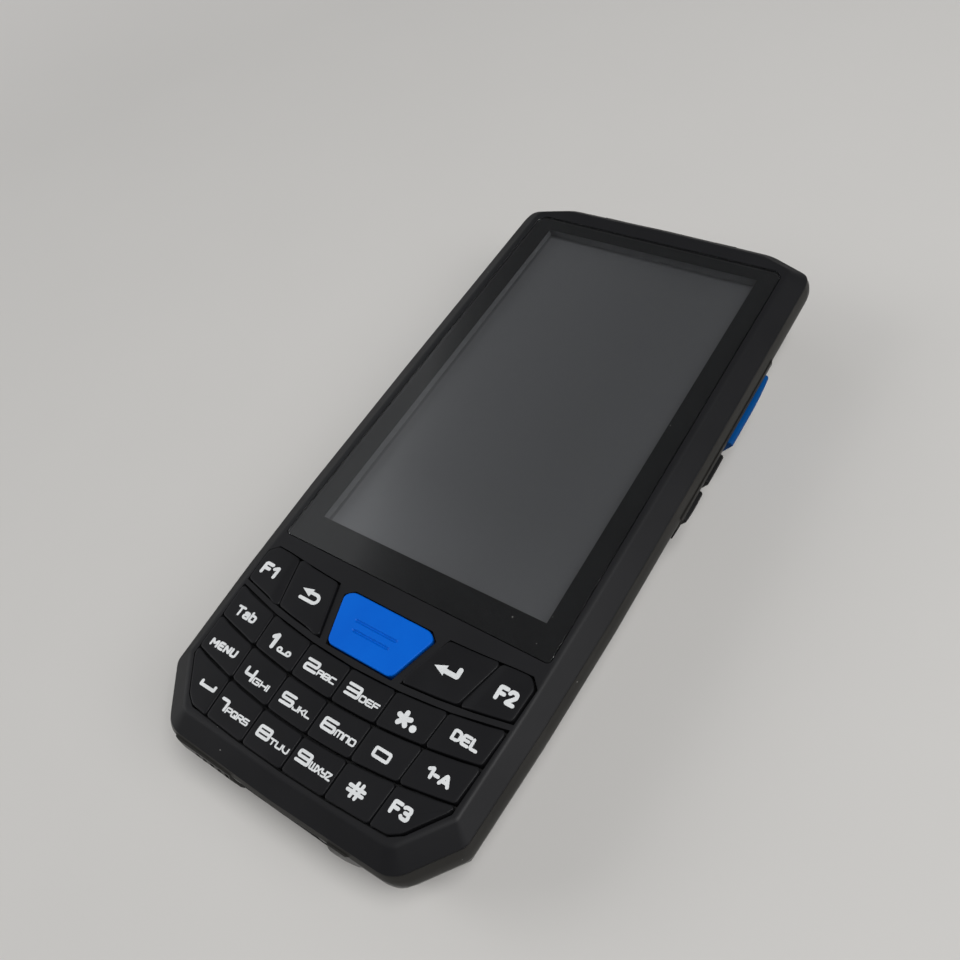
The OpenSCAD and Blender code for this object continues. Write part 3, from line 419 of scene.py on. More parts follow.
class Finish(Enum):
    """Finishes of the terminal's pieces."""

    COVER = Moulding("cover_black_satin", (27, 27, 29), (31, 31, 33), 0.46, 0.08, 0.2, 0.3, 0.006,
                     grazing=0.12)
    # Painted shade: the shell's recesses, such as the gaps around the trigger pad and between cover and
    # shell, are darkened.
    SHELL = Moulding("shell_grey_textured", (45, 44, 42), (51, 50, 48), 0.5, 0.05, 0.12, 0.5, 0.012,
                     grazing=8.0, hollow_shade=0.9, away=(0.72, 0.95))
    KEY = Moulding("key_black_satin", (25, 25, 27), (29, 29, 31), 0.4, 0.05, 0.17, 0.25, 0.004, 9, 0.03)
    # Painted shade: the scan key is darkened near its edges and in its grooves.
    SCAN_KEY = Moulding("scan_key_blue", (1, 98, 212), (3, 104, 218), 0.42, 0.05, 0.12, 0.25, 0.003, 9,
                        0.02, hollow_shade=0.6)
    # Painted shade: the triggers have the scan key's blue, painted darker for the shade they lie in on the
    # sides.
    TRIGGER = Moulding("trigger_blue_painted_shade", (1, 68, 130), (2, 74, 138), 0.45, 0.05, 0.1, 0.3, 0.006)
    BUTTON = Moulding("side_button_black", (14, 14, 15), (18, 18, 19), 0.45, 0.06, 0.15, 0.3, 0.006)
    RUBBER = Moulding("flap_rubber", (28, 28, 29), (34, 34, 35), 0.72, 0.05, 0.3, 0.4, 0.02, 14, 0.2)
    TAPE = Moulding("adhesive_foam", (22, 22, 23), (28, 28, 29), 0.85, 0.04, 0.3, 0.6, 0.03)
    FOAM = Moulding("screen_foam", (80, 80, 82), (86, 86, 88), 0.85, 0.04, 0.3, 0.3, 0.02)
    MAT = Moulding("keypad_silicone", (30, 30, 31), (36, 36, 37), 0.6, 0.05, 0.3, 0.5, 0.01)
    BORDER = Moulding("border_print", (10, 10, 11), (13, 13, 14), 0.6, 0.04, 0.1, 0.5, 0.0002)
    LEGEND = Moulding("legend_print", (222, 224, 225), (234, 236, 237), 0.6, 0.04, 0.3, 0.12, 0.003, 2.5,
                      0.0)
    WINDOW = Moulding("scan_window_dark", (14, 12, 16), (18, 15, 20), 0.08, 0.05, 0.6, 0.2, 0.0005,
                      grazing=1.0)
    LENS = Moulding("lens_dark", (10, 10, 14), (14, 14, 20), 0.05, 0.04, 0.6, 0.2, 0.0005, grazing=1.0)
    MODULE = Moulding("module_black_matt", (30, 30, 31), (38, 38, 39), 0.5, 0.06, 0.4, 0.3, 0.008)
    SLEEVE = Moulding("battery_sleeve_film", (60, 62, 66), (70, 72, 76), 0.35, 0.1, 0.45, 0.8, 0.01)
    TRAY = Moulding("light_box_white", (214, 216, 220), (224, 226, 230), 0.4, 0.05, 0.45, 0.4, 0.004)
    STEEL = Metal("steel_drawn", (168, 170, 172), (188, 190, 192), 0.28)
    SCREW = Metal("dark_screw_steel", (96, 97, 100), (120, 121, 124), 0.34)
    MAGNESIUM = Metal("magnesium_frame", (150, 152, 154), (168, 169, 170), 0.48, 0.5, 0.02)
    BRASS = Metal("brass_turned", (196, 158, 84), (214, 178, 104), 0.3)
    BOARD = Circuit("board_green", (16, 74, 44), (34, 104, 62))
    FLEX = Circuit("flex_amber", (168, 98, 30), (196, 128, 56), 0.3)
    GLASS = ClearGlass("cover_glass_clear")
    SCREEN = ScreenFace("screen_off", (64, 64, 66), (52, 52, 54), 27.72, 49.32, 21.0)

    def material(self) -> Material:
        """Blender material of this finish."""
        return new_material(self.value.name, self.value.shade)


# ---------- Meshes ----------


def linked(name: str, data: Any) -> Object:
    """New object in the scene that shows the given data."""
    made = bpy.data.objects.new(name, data)
    bpy.context.scene.collection.objects.link(made)
    return made


def add_piece(mesh: Mesh, body: str, finish: Finish, slot: str | None = None) -> Object:
    """Links a mesh as a piece of the same name that rides on a body.

    Args:
        mesh: its mesh, in metres in the frame of the part.
        body: CAD body that carries it.
        finish: its finish.
        slot: material slot of the record, not used.

    Returns:
        The new object.
    """
    mesh.materials.clear()
    mesh.materials.append(finish.material())
    piece = linked(mesh.name, mesh)
    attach(piece, body)
    log.info("made %s on %s", piece.name, body)
    return piece


def stand_in(mesh: Mesh, node: str, finish: Finish, slot: str) -> Object:
    """Piece that stands for a CAD node and rides on its body."""
    piece = add_piece(mesh, frame["nodes"][node]["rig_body"], finish, slot)
    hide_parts(node)
    return piece


def mesh_of(name: str, points: Array, faces: list, sharp: float | None = None) -> Mesh:
    """Mesh from points and faces.

    Args:
        name: name of the mesh.
        points: its points in millimetres.
        faces: its faces as lists of point numbers.
        sharp: angle in degrees above which edges of a smooth mesh stay sharp, none for a flat one.

    Returns:
        The new mesh, in metres.
    """
    mesh = bpy.data.meshes.new(name)
    mesh.from_pydata((points * MM).tolist(), [], faces)
    mesh.update()
    if sharp:
        mesh.shade_smooth()
        mesh.set_sharp_from_angle(angle=math.radians(sharp))
    return mesh


def ring_faces(levels: int, around: int) -> Array:
    """Quads between neighbouring rings: face (k, i) joins points i and i + 1 of rings k and k + 1."""
    k, i = np.meshgrid(np.arange(levels - 1), np.arange(around), indexing="ij")
    j = (i + 1) % around
    quads = [k * around + i, k * around + j, (k + 1) * around + j, (k + 1) * around + i]
    return np.stack(quads, -1).reshape(-1, 4)


def closed_loft(rings: list[Array]) -> tuple[Array, list]:
    """Skin over rings of equal length, closed by a flat face on the first and on the last ring.

    Args:
        rings: points of each ring, in space and in the same order round every ring.

    Returns:
        All points, and the faces as lists of point numbers.
    """
    around = len(rings[0])
    i = np.arange(around)
    caps = [i[::-1].tolist(), ((len(rings) - 1) * around + i).tolist()]
    return np.concatenate(rings), ring_faces(len(rings), around).tolist() + caps


def flat_ring(outline: Array, z: float) -> Array:
    """Outline laid at one height."""
    return np.column_stack([outline, np.full(len(outline), z)])


def quarter(roll: float, steps: int) -> tuple[Array, Array]:
    """How far a quarter circle over an edge moves in, r (1 - cos a), and drops, r (1 - sin a)."""
    angle = np.linspace(0, math.pi / 2, steps + 1)
    return roll * (1 - np.cos(angle)), roll * (1 - np.sin(angle))


def cross(a: Array, b: Array) -> Array:
    """Flat cross product of each pair of rows."""
    return a[:, 0] * b[:, 1] - a[:, 1] * b[:, 0]


def left_of(unit: Array) -> Array:
    """Normals on the left of unit steps."""
    return np.stack([-unit[:, 1], unit[:, 0]], -1)


def edges_of(points: Array) -> tuple[Array, Array]:
    """Unit step and length of edge i of a closed outline, from point i to point i + 1."""
    step = np.roll(points, -1, 0) - points
    length = np.linalg.norm(step, axis=1)
    return step / length[:, None], length


def inset(points: Array, moves: Array | float) -> Array:
    """Closed outline whose edges have moved inwards. Each new corner is where two moved edges meet.

    Args:
        points: corners, anticlockwise.
        moves: distance for every edge, or one for all.

    Returns:
        The new corners.
    """
    moves = np.broadcast_to(np.asarray(moves, float), (len(points),))
    v = edges_of(points)[0]
    u = np.roll(v, 1, 0)
    a = points + left_of(u) * np.roll(moves, 1)[:, None]
    b = points + left_of(v) * moves[:, None]
    turn = cross(u, v)
    straight = np.abs(turn) < 1e-6
    return a + u * np.where(straight, 0, cross(b - a, v) / np.where(straight, 1, turn))[:, None]


def rounded(points: Array, radius: Array, steps: Array) -> Array:
    """Outline with each corner replaced by steps + 1 points of a circle that touches both edges.

    Args:
        points: corners, anticlockwise.
        radius: radius at each corner.
        steps: steps of each corner, 0 to leave it sharp.

    Returns:
        Points of the rounded outline.
    """
    v = edges_of(points)[0]
    u = np.roll(v, 1, 0)
    turn = np.arcsin(np.clip(cross(u, v), -1, 1))
    half = v - u
    half /= np.maximum(np.linalg.norm(half, axis=1, keepdims=True), 1e-9)
    centre = points + half * (radius / np.cos(turn / 2))[:, None]
    start = np.arctan2(-u[:, 0], u[:, 1])
    count = steps + 1
    k = np.arange(count.sum()) - np.repeat(np.cumsum(count) - count, count)
    many = [np.repeat(a, count, 0) for a in (points, centre, start, turn, radius, steps)]
    corner, middle, begin, sweep, size, number = many
    angle = begin + sweep * k / np.maximum(number, 1)
    arc = middle + size[:, None] * np.stack([np.cos(angle), np.sin(angle)], -1)
    return np.where((number > 0)[:, None], arc, corner)


def divided(ring: Array, counts: Array) -> Array:
    """Ring with edge i cut into counts[i] equal pieces."""
    start = np.repeat(ring, counts, 0)
    end = np.repeat(np.roll(ring, -1, 0), counts, 0)
    k = np.arange(counts.sum()) - np.repeat(np.cumsum(counts) - counts, counts)
    return start + (end - start) * (k / np.repeat(counts, counts))[:, None]


LARGE_FACE = 16
CUTS_X = (0.0137,)
CUTS_Y = (-61.3, -45.01, 21.01, 60.3)


def softened_copy(node: str, name: str, finish: Finish, slot: str, edge: float) -> Object:
    """Piece in the shape of a CAD node with softened edges, which stands for the node.

    Its points are merged and its flat faces joined. Large flat faces are then cut along a few
    planes, so that none of them closes round an opening.

    Args:
        node: CAD node to copy.
        name: name of the piece.
        finish: its finish.
        slot: material slot of the record.
        edge: width of the softened edges in millimetres.

    Returns:
        The new object.
    """
    mesh = frame["nodes"][node].data.copy()
    if mesh.attributes.get("custom_normal"):
        mesh.attributes.remove(mesh.attributes["custom_normal"])
    work = bmesh.new()
    work.from_mesh(mesh)
    bpy.data.meshes.remove(mesh)
    bmesh.ops.remove_doubles(work, verts=work.verts, dist=2e-6)
    bmesh.ops.dissolve_limit(work, angle_limit=math.radians(0.4), verts=work.verts, edges=work.edges)
    cuts = [((x, 0, 0), (1, 0, 0)) for x in CUTS_X] + [((0, y, 0), (0, 1, 0)) for y in CUTS_Y]
    for place, normal in cuts:
        large = [f for f in work.faces if len(f.verts) > LARGE_FACE]
        around = {part for f in large for part in (*f.verts, *f.edges)}
        bmesh.ops.bisect_plane(work, geom=[*around, *large], plane_co=Vector(place) * MM, plane_no=normal,
                               dist=1e-6)
    mesh = bpy.data.meshes.new(name)
    work.to_mesh(mesh)
    work.free()
    mesh.shade_smooth()
    piece = stand_in(mesh, node, finish, slot)
    bevel = piece.modifiers.new("soft_edges", "BEVEL")
    bevel.width, bevel.segments, bevel.miter_outer = edge * MM, 2, "MITER_ARC"
    bevel.limit_method, bevel.angle_limit = "ANGLE", math.radians(30)
    piece.modifiers.new("flat_faces", "WEIGHTED_NORMAL").weight = 100
    return piece


# ---------- Keypad outlines ----------


@dataclass
class KeyPlan:
    """Outlines of the keys: rows are arcs of one radius, columns are slanted lines."""

    row_radius: float = 147.0
    base_radius: float = 320.0
    top_radius: float = 310.0
    row_top: float = -54.15
    row_pitch: float = 7.5
    func_top: float = -40.94
    func_base: float = -52.65
    columns: tuple = ((-21.75, -20.2), (-10.65, -10.2), (0.0, 0.0), (10.65, 10.2), (21.75, 20.2))
    shoulder: tuple = (33.6, -41.4)
    corner: tuple = (31.9, -67.2)
    cut: tuple = (26.7, -74.1)
    foot_x: float = 24.2
    f_line: tuple = (25.2, 22.5)
    web_line: tuple = (13.85, 10.15)

    def arc(self, x0: float, x1: float, y0: float, radius: float) -> Array:
        """Four points from x0 to x1 on the circle that has its lowest point at y0 on the middle plane."""
        x = np.linspace(x0, x1, 4)
        return np.stack([x, y0 + radius - np.sqrt(radius**2 - x**2)], -1)

    def row_y(self, row: int, x: float) -> float:
        """Height on the face of the top edge of a number row at x."""
        radius = self.row_radius if row < 3 else self.base_radius
        return self.row_top - row * self.row_pitch + radius - math.sqrt(radius**2 - x**2)

    def column_x(self, column: int, y: float) -> float:
        """Place of a joint line between columns at y."""
        top, low = self.columns[column]
        return top + (low - top) * (-53 - y) / 24

    def pad_x(self, y: float) -> float:
        """Outer side of the keypad at y."""
        slope = (self.shoulder[0] - self.corner[0]) / (self.shoulder[1] - self.corner[1])
        return self.corner[0] + slope * (y - self.corner[1])

    def inner(self, row: int, column: int) -> Array:
        """Outline of a number key between two joint lines."""
        low, high = self.row_y(row + 1, 0), self.row_y(row, 0)
        radius = self.row_radius if row < 2 else self.base_radius
        return np.concatenate([
            self.arc(self.column_x(column, low), self.column_x(column + 1, low), low, radius),
            self.arc(self.column_x(column + 1, high), self.column_x(column, high), high, self.row_radius)])

    def outer(self, row: int) -> Array:
        """Outline of the outermost right key of a number row."""
        low, high = self.row_y(row + 1, 0), self.row_y(row, 0)
        high_side = self.pad_x(self.row_y(row, self.pad_x(high + 3.5)))
        low_side = self.pad_x(self.row_y(row + 1, self.pad_x(low + 3.5)))
        top = self.arc(high_side, self.column_x(4, high), high, self.row_radius)
        if row < 2:
            return np.concatenate([self.arc(self.column_x(4, low), low_side, low, self.row_radius), top])
        base = self.arc(self.column_x(4, low), self.foot_x, low, self.base_radius)
        return np.concatenate([base, [self.cut, self.corner], top])

    def function(self) -> Array:
        """Outline of the right outer key of the function row."""
        base = self.arc(self.f_line[1], 33.1, self.func_base, self.row_radius)
        top = [self.arc(x, x, self.func_top, self.top_radius)[:1] for x in (28.3, self.f_line[0])]
        return np.concatenate([base, [self.shoulder, (31.8, -39.5)], *top])

    def enter(self) -> Array:
        """Outline of the right inner key of the function row."""
        return np.concatenate([
            self.arc(self.web_line[1], self.f_line[1], self.func_base, self.row_radius),
            self.arc(self.f_line[0], self.web_line[0], self.func_top, self.top_radius)])

    def scan(self) -> Array:
        """Outline of the scan key."""
        return np.array([[-8.0, -52.45], [8.0, -52.45], [11.25, -42.3], [9.6, -40.94], [-9.6, -40.94],
                         [-11.25, -42.3]])

    @staticmethod
    def mirrored(points: Array) -> Array:
        """The same outline on the other side of the middle plane."""
        return points[::-1] * [-1, 1]


# ---------- Key legends ----------


LOOP = ".5,0 0,0 0,1 1,1 1,0 .5,0"


class Hand(Enum):
    """Lettering of the legends: close bold letters, or wide letters with square bends."""

    BOLD = {
        "F": "0,0 0,1 .55,1|0,.5 .46,.5", "T": "0,1 .62,1|.31,1 .31,0",
        "1": "0,.74 .3,1 .3,0", "2": "0,.8 .1,1 .48,1 .56,.8 .56,.62 0,0 .6,0",
        "3": "0,.9 .1,1 .46,1 .54,.86 .54,.64 .42,.52 .18,.52|.42,.52 .54,.4 .54,.12 .46,0 .1,0 0,.12",
        "a": ".04,.62 .12,.7 .36,.7 .44,.6 .44,0|.44,.4 .12,.4 0,.3 0,.1 .1,0 .34,0 .44,.1",
        "b": "0,1 0,0 .36,0 .46,.12 .46,.58 .36,.7 0,.7", "M": "0,0 0,1 .36,.3 .72,1 .72,0",
        "E": ".5,1 0,1 0,0 .5,0|0,.52 .44,.52", "N": "0,0 0,1 .56,0 .56,1",
        "U": "0,1 0,.14 .12,0 .44,0 .56,.14 .56,1", "L": "0,1 0,0 .48,0",
        "D": "0,0 0,1 .36,1 .54,.82 .54,.18 .36,0 0,0", "-": "0,.42 .24,.42",
        "A": "0,0 .32,1 .64,0|.12,.28 .52,.28"}
    WIDE = {
        "0": LOOP, "2": "0,1 1,1 1,.5 0,.5 0,0 1,0",
        "3": "0,1 1,1 1,0 0,0|0,.5 1,.5", "4": "0,1 0,.42 .84,.42|.84,1 .84,0",
        "5": "1,1 0,1 0,.5 1,.5 1,0 0,0", "6": "1,1 0,1 0,0 1,0 1,.5 0,.5",
        "7": "0,1 .8,1 .8,0", "8": LOOP + "|0,.5 1,.5",
        "9": "1,.5 0,.5 0,1 1,1 1,0 0,0", "A": "0,0 0,1 1,1 1,0|0,.45 1,.45",
        "B": LOOP + "|0,.5 1,.5", "C": "1,1 0,1 0,0 1,0",
        "D": ".5,0 0,0 0,1 .8,1 1,.8 1,.2 .8,0 .5,0", "E": "1,1 0,1 0,0 1,0|0,.5 .9,.5",
        "F": "1,1 0,1 0,0|0,.5 .85,.5", "G": "1,1 0,1 0,0 1,0 1,.5 .5,.5",
        "H": "0,1 0,0|1,1 1,0|0,.5 1,.5", "I": "0,1 0,0", "J": ".9,1 .9,0 0,0 0,.3",
        "K": "0,1 0,0|.9,1 .4,.5 .9,0|0,.5 .4,.5", "L": "0,1 0,0 .9,0",
        "m": "0,0 0,1 1.3,1 1.3,0|.65,1 .65,0", "n": "0,0 0,1 .9,1 .9,0",
        "o": LOOP, "P": "0,0 0,1 1,1 1,.42 0,.42",
        "Q": LOOP + "|.6,.4 1.05,0", "R": "0,0 0,1 1,1 1,.45 0,.45|.4,.45 1,0",
        "S": "1,1 0,1 0,.5 1,.5 1,0 0,0", "T": "0,1 1,1|.5,1 .5,0", "U": "0,1 0,0 1,0 1,1",
        "V": "0,1 0,.4 .4,0 1,0 1,1", "W": "0,1 0,0 1.3,0 1.3,1|.65,1 .65,0",
        "X": "0,1 1,0|0,0 1,1", "Y": "0,1 0,.5 1,.5|1,1 1,0 .2,0", "Z": "0,1 1,1 0,0 1,0"}


def bent(points: Array, radius: float) -> Array:
    """Line whose inner corners are replaced by curves of five points.

    A curve runs from radius before the corner to radius after it, at most 0.45 of the shorter
    side, as (1 - t)^2 a + 2 t (1 - t) corner + t^2 b.
    """
    if len(points) < 3:
        return points
    step = np.diff(points, axis=0)
    length = np.linalg.norm(step, axis=1)
    reach = np.minimum(radius, 0.45 * np.minimum(length[:-1], length[1:]))[:, None]
    corner = points[1:-1]
    a = corner - step[:-1] / length[:-1, None] * reach
    b = corner + step[1:] / length[1:, None] * reach
    t = np.linspace(0, 1, 5)[None, :, None]
    curve = (1 - t) ** 2 * a[:, None] + 2 * t * (1 - t) * corner[:, None] + t**2 * b[:, None]
    return np.concatenate([points[:1], curve.reshape(-1, 2), points[-1:]])


@dataclass
class Mark:
    """Printed strokes that fill a box on a key.

    Attributes:
        lines: centre lines, in the mark's own units if it has a box and else in millimetres.
        box: left, right, low and high side in millimetres.
        stroke: width of the strokes.
        bend: radius of the bends.
        areas: filled outlines in millimetres.
    """

    lines: list
    box: Box | None
    stroke: float
    bend: float = 0.3
    areas: tuple = ()

    def polygons(self) -> list[Array]:
        """Outlines that together cover the mark: a strip for each step and a disc for each point."""
        lines = [np.asarray(line, float) for line in self.lines]
        every = np.concatenate(lines)
        low, high = every.min(0), every.max(0)
        half = self.stroke / 2
        corner, scale = low, np.ones(2)
        if self.box:
            x0, x1, y0, y1 = self.box
            corner = np.array([x0 + half, y0 + half])
            scale = (np.array([x1 - half, y1 - half]) - corner) / np.maximum(high - low, 1e-6)
            scale = np.where(high - low < 1e-6, 0, scale)
        found = [np.array(area) for area in self.areas]
        angle = np.linspace(0, 2 * math.pi, 12, endpoint=False)
        disc = np.stack([np.cos(angle), np.sin(angle)], -1) * half
        for line in lines:
            path = bent(corner + (line - low) * scale, self.bend)
            step = np.diff(path, axis=0)
            side = left_of(step / np.linalg.norm(step, axis=1, keepdims=True)) * half
            strips = np.stack([path[:-1] - side, path[1:] - side, path[1:] + side, path[:-1] + side], 1)
            found += list(strips) + list(path[:, None] + disc[None])
        return found


def word(text: str, hand: Hand, box: Box, stroke: float = 0.6,
         space: float = 0.3, bend: float = 0.3) -> Mark:
    """Mark that writes a word.

    Args:
        text: letters of the word.
        hand: lettering to use.
        box: left, right, low and high side in millimetres.
        stroke: width of the strokes.
        space: gap between letters, in letter heights.
        bend: radius of the bends.

    Returns:
        The mark.
    """
    lines, x = [], 0.0
    for letter in text:
        drawn = [np.array([p.split(",") for p in part.split()], float)
                 for part in hand.value[letter].split("|")]
        lines += [line + [x, 0] for line in drawn]
        x += max(line[:, 0].max() for line in drawn) + space
    return Mark(lines, box, stroke, bend)


def number(digit: str, box: Box, letters: str,
           small: Box, space: float = 0.3) -> list[Mark]:
    """Marks of a number key: its digit in one box and its small letters in another."""
    return [word(digit, Hand.WIDE, box, 0.62 if digit == "4" else 0.6),
            word(letters, Hand.WIDE, small, 0.33, space, 0.2)]


def circle(x: float, y: float, radius: float, start: float = -90, sweep: float = 360) -> Array:
    """Line along a circle, from an angle and over a sweep in degrees."""
    angle = np.radians(start + np.linspace(0, sweep, 17))
    return np.stack([x + radius * np.cos(angle), y + radius * np.sin(angle)], -1)


LEGENDS = {
    "f1": [word("F1", Hand.BOLD, (-31.7, -27.45, -46.65, -43.65), 0.78)],
    "back": [Mark([[(-17.9, -45.25), (-16.25, -45.25)], circle(-16.25, -46.175, 0.925, 90, -180),
                   [(-16.25, -47.1), (-19.45, -47.1)]], None, 0.74, 0.01,
                  (((-20.2, -45.16), (-17.75, -46.25), (-17.5, -44.4)),))],
    "enter": [Mark([[(16.5, -46.37), (19.32, -46.37), (19.32, -44.92)]], None, 1.0, 0.1,
                   (((14.15, -46.3), (16.7, -47.4), (16.7, -45.2)),))],
    "f2": [word("F2", Hand.BOLD, (27.35, 31.75, -46.65, -43.5), 0.8)],
    "tab": [word("Tab", Hand.BOLD, (-30.1, -24.5, -56.7, -54.4), 0.52, 0.24)],
    "1": [word("1", Hand.BOLD, (-18.95, -17.2, -58.95, -55.4), 0.9),
          Mark([circle(0.6, 0.6, 0.42), circle(2.6, 0.6, 0.42), [(0.6, 0.18), (2.6, 0.18)]],
               (-16.35, -12.7, -58.85, -57.6), 0.42, 0.01)],
    "2": number("2", (-9.05, -5.7, -59.05, -56.5), "ABC", (-5.6, -1.05, -58.95, -57.6)),
    "3": number("3", (1.5, 5.0, -59.15, -56.6), "DEF", (5.1, 9.7, -59.1, -57.7)),
    "star": [Mark([np.array([[0, 0], [math.cos(a), math.sin(a)]]) * 1.15
                   for a in np.radians([90, 18, -54, -126, 162])], (13.3, 16.85, -59.15, -55.9), 0.98),
             Mark([circle(0, 0, 0.3, 0)], (16.85, 18.3, -59.15, -57.75), 0.95, 0.01)],
    "del": [word("DEL", Hand.BOLD, (24.45, 30.25, -56.65, -54.4), 0.6, 0.22)],
    "menu": [word("MENU", Hand.BOLD, (-30.1, -22.95, -64.35, -62.55), 0.5, 0.28)],
    "4": number("4", (-19.05, -16.4, -66.45, -63.75), "GHI", (-16.3, -12.15, -66.4, -65.05)),
    "5": number("5", (-8.95, -5.6, -66.6, -64.15), "JKL", (-5.55, -1.1, -66.6, -65.3)),
    "6": number("6", (1.5, 4.9, -66.65, -64.15), "mno", (5.0, 9.75, -66.6, -65.2)),
    "0": [word("0", Hand.WIDE, (13.4, 17.25, -66.1, -63.95))],
    "shift": [word("1-A", Hand.BOLD, (24.05, 29.25, -64.3, -61.9), 0.66, 0.24)],
    "space": [Mark([[(0, 1.0), (0, 0), (3.4, 0), (3.4, 1.0)]], (-25.9, -21.75, -71.75, -70.4), 0.66, 0.05)],
    "7": number("7", (-19.45, -17.2, -73.55, -71.15), "PQRS", (-17.1, -11.2, -73.6, -72.25)),
    "8": number("8", (-8.8, -5.45, -73.85, -71.45), "TUV", (-5.35, -0.6, -73.85, -72.6)),
    "9": number("9", (1.1, 4.4, -73.7, -71.25), "WXYZ", (4.5, 9.6, -73.65, -72.2), 0.25),
    "hash": [Mark([[(1.15, 0), (1.45, 3.2)], [(2.3, 0), (2.6, 3.2)], [(0, 1.05), (3.5, 1.05)],
                   [(0, 2.1), (3.5, 2.1)]], (13.05, 16.95, -74.0, -70.75), 0.66)],
    "f3": [word("F3", Hand.BOLD, (21.95, 26.15, -72.45, -69.8), 0.68)],
}


# ---------- Sub-assemblies ----------


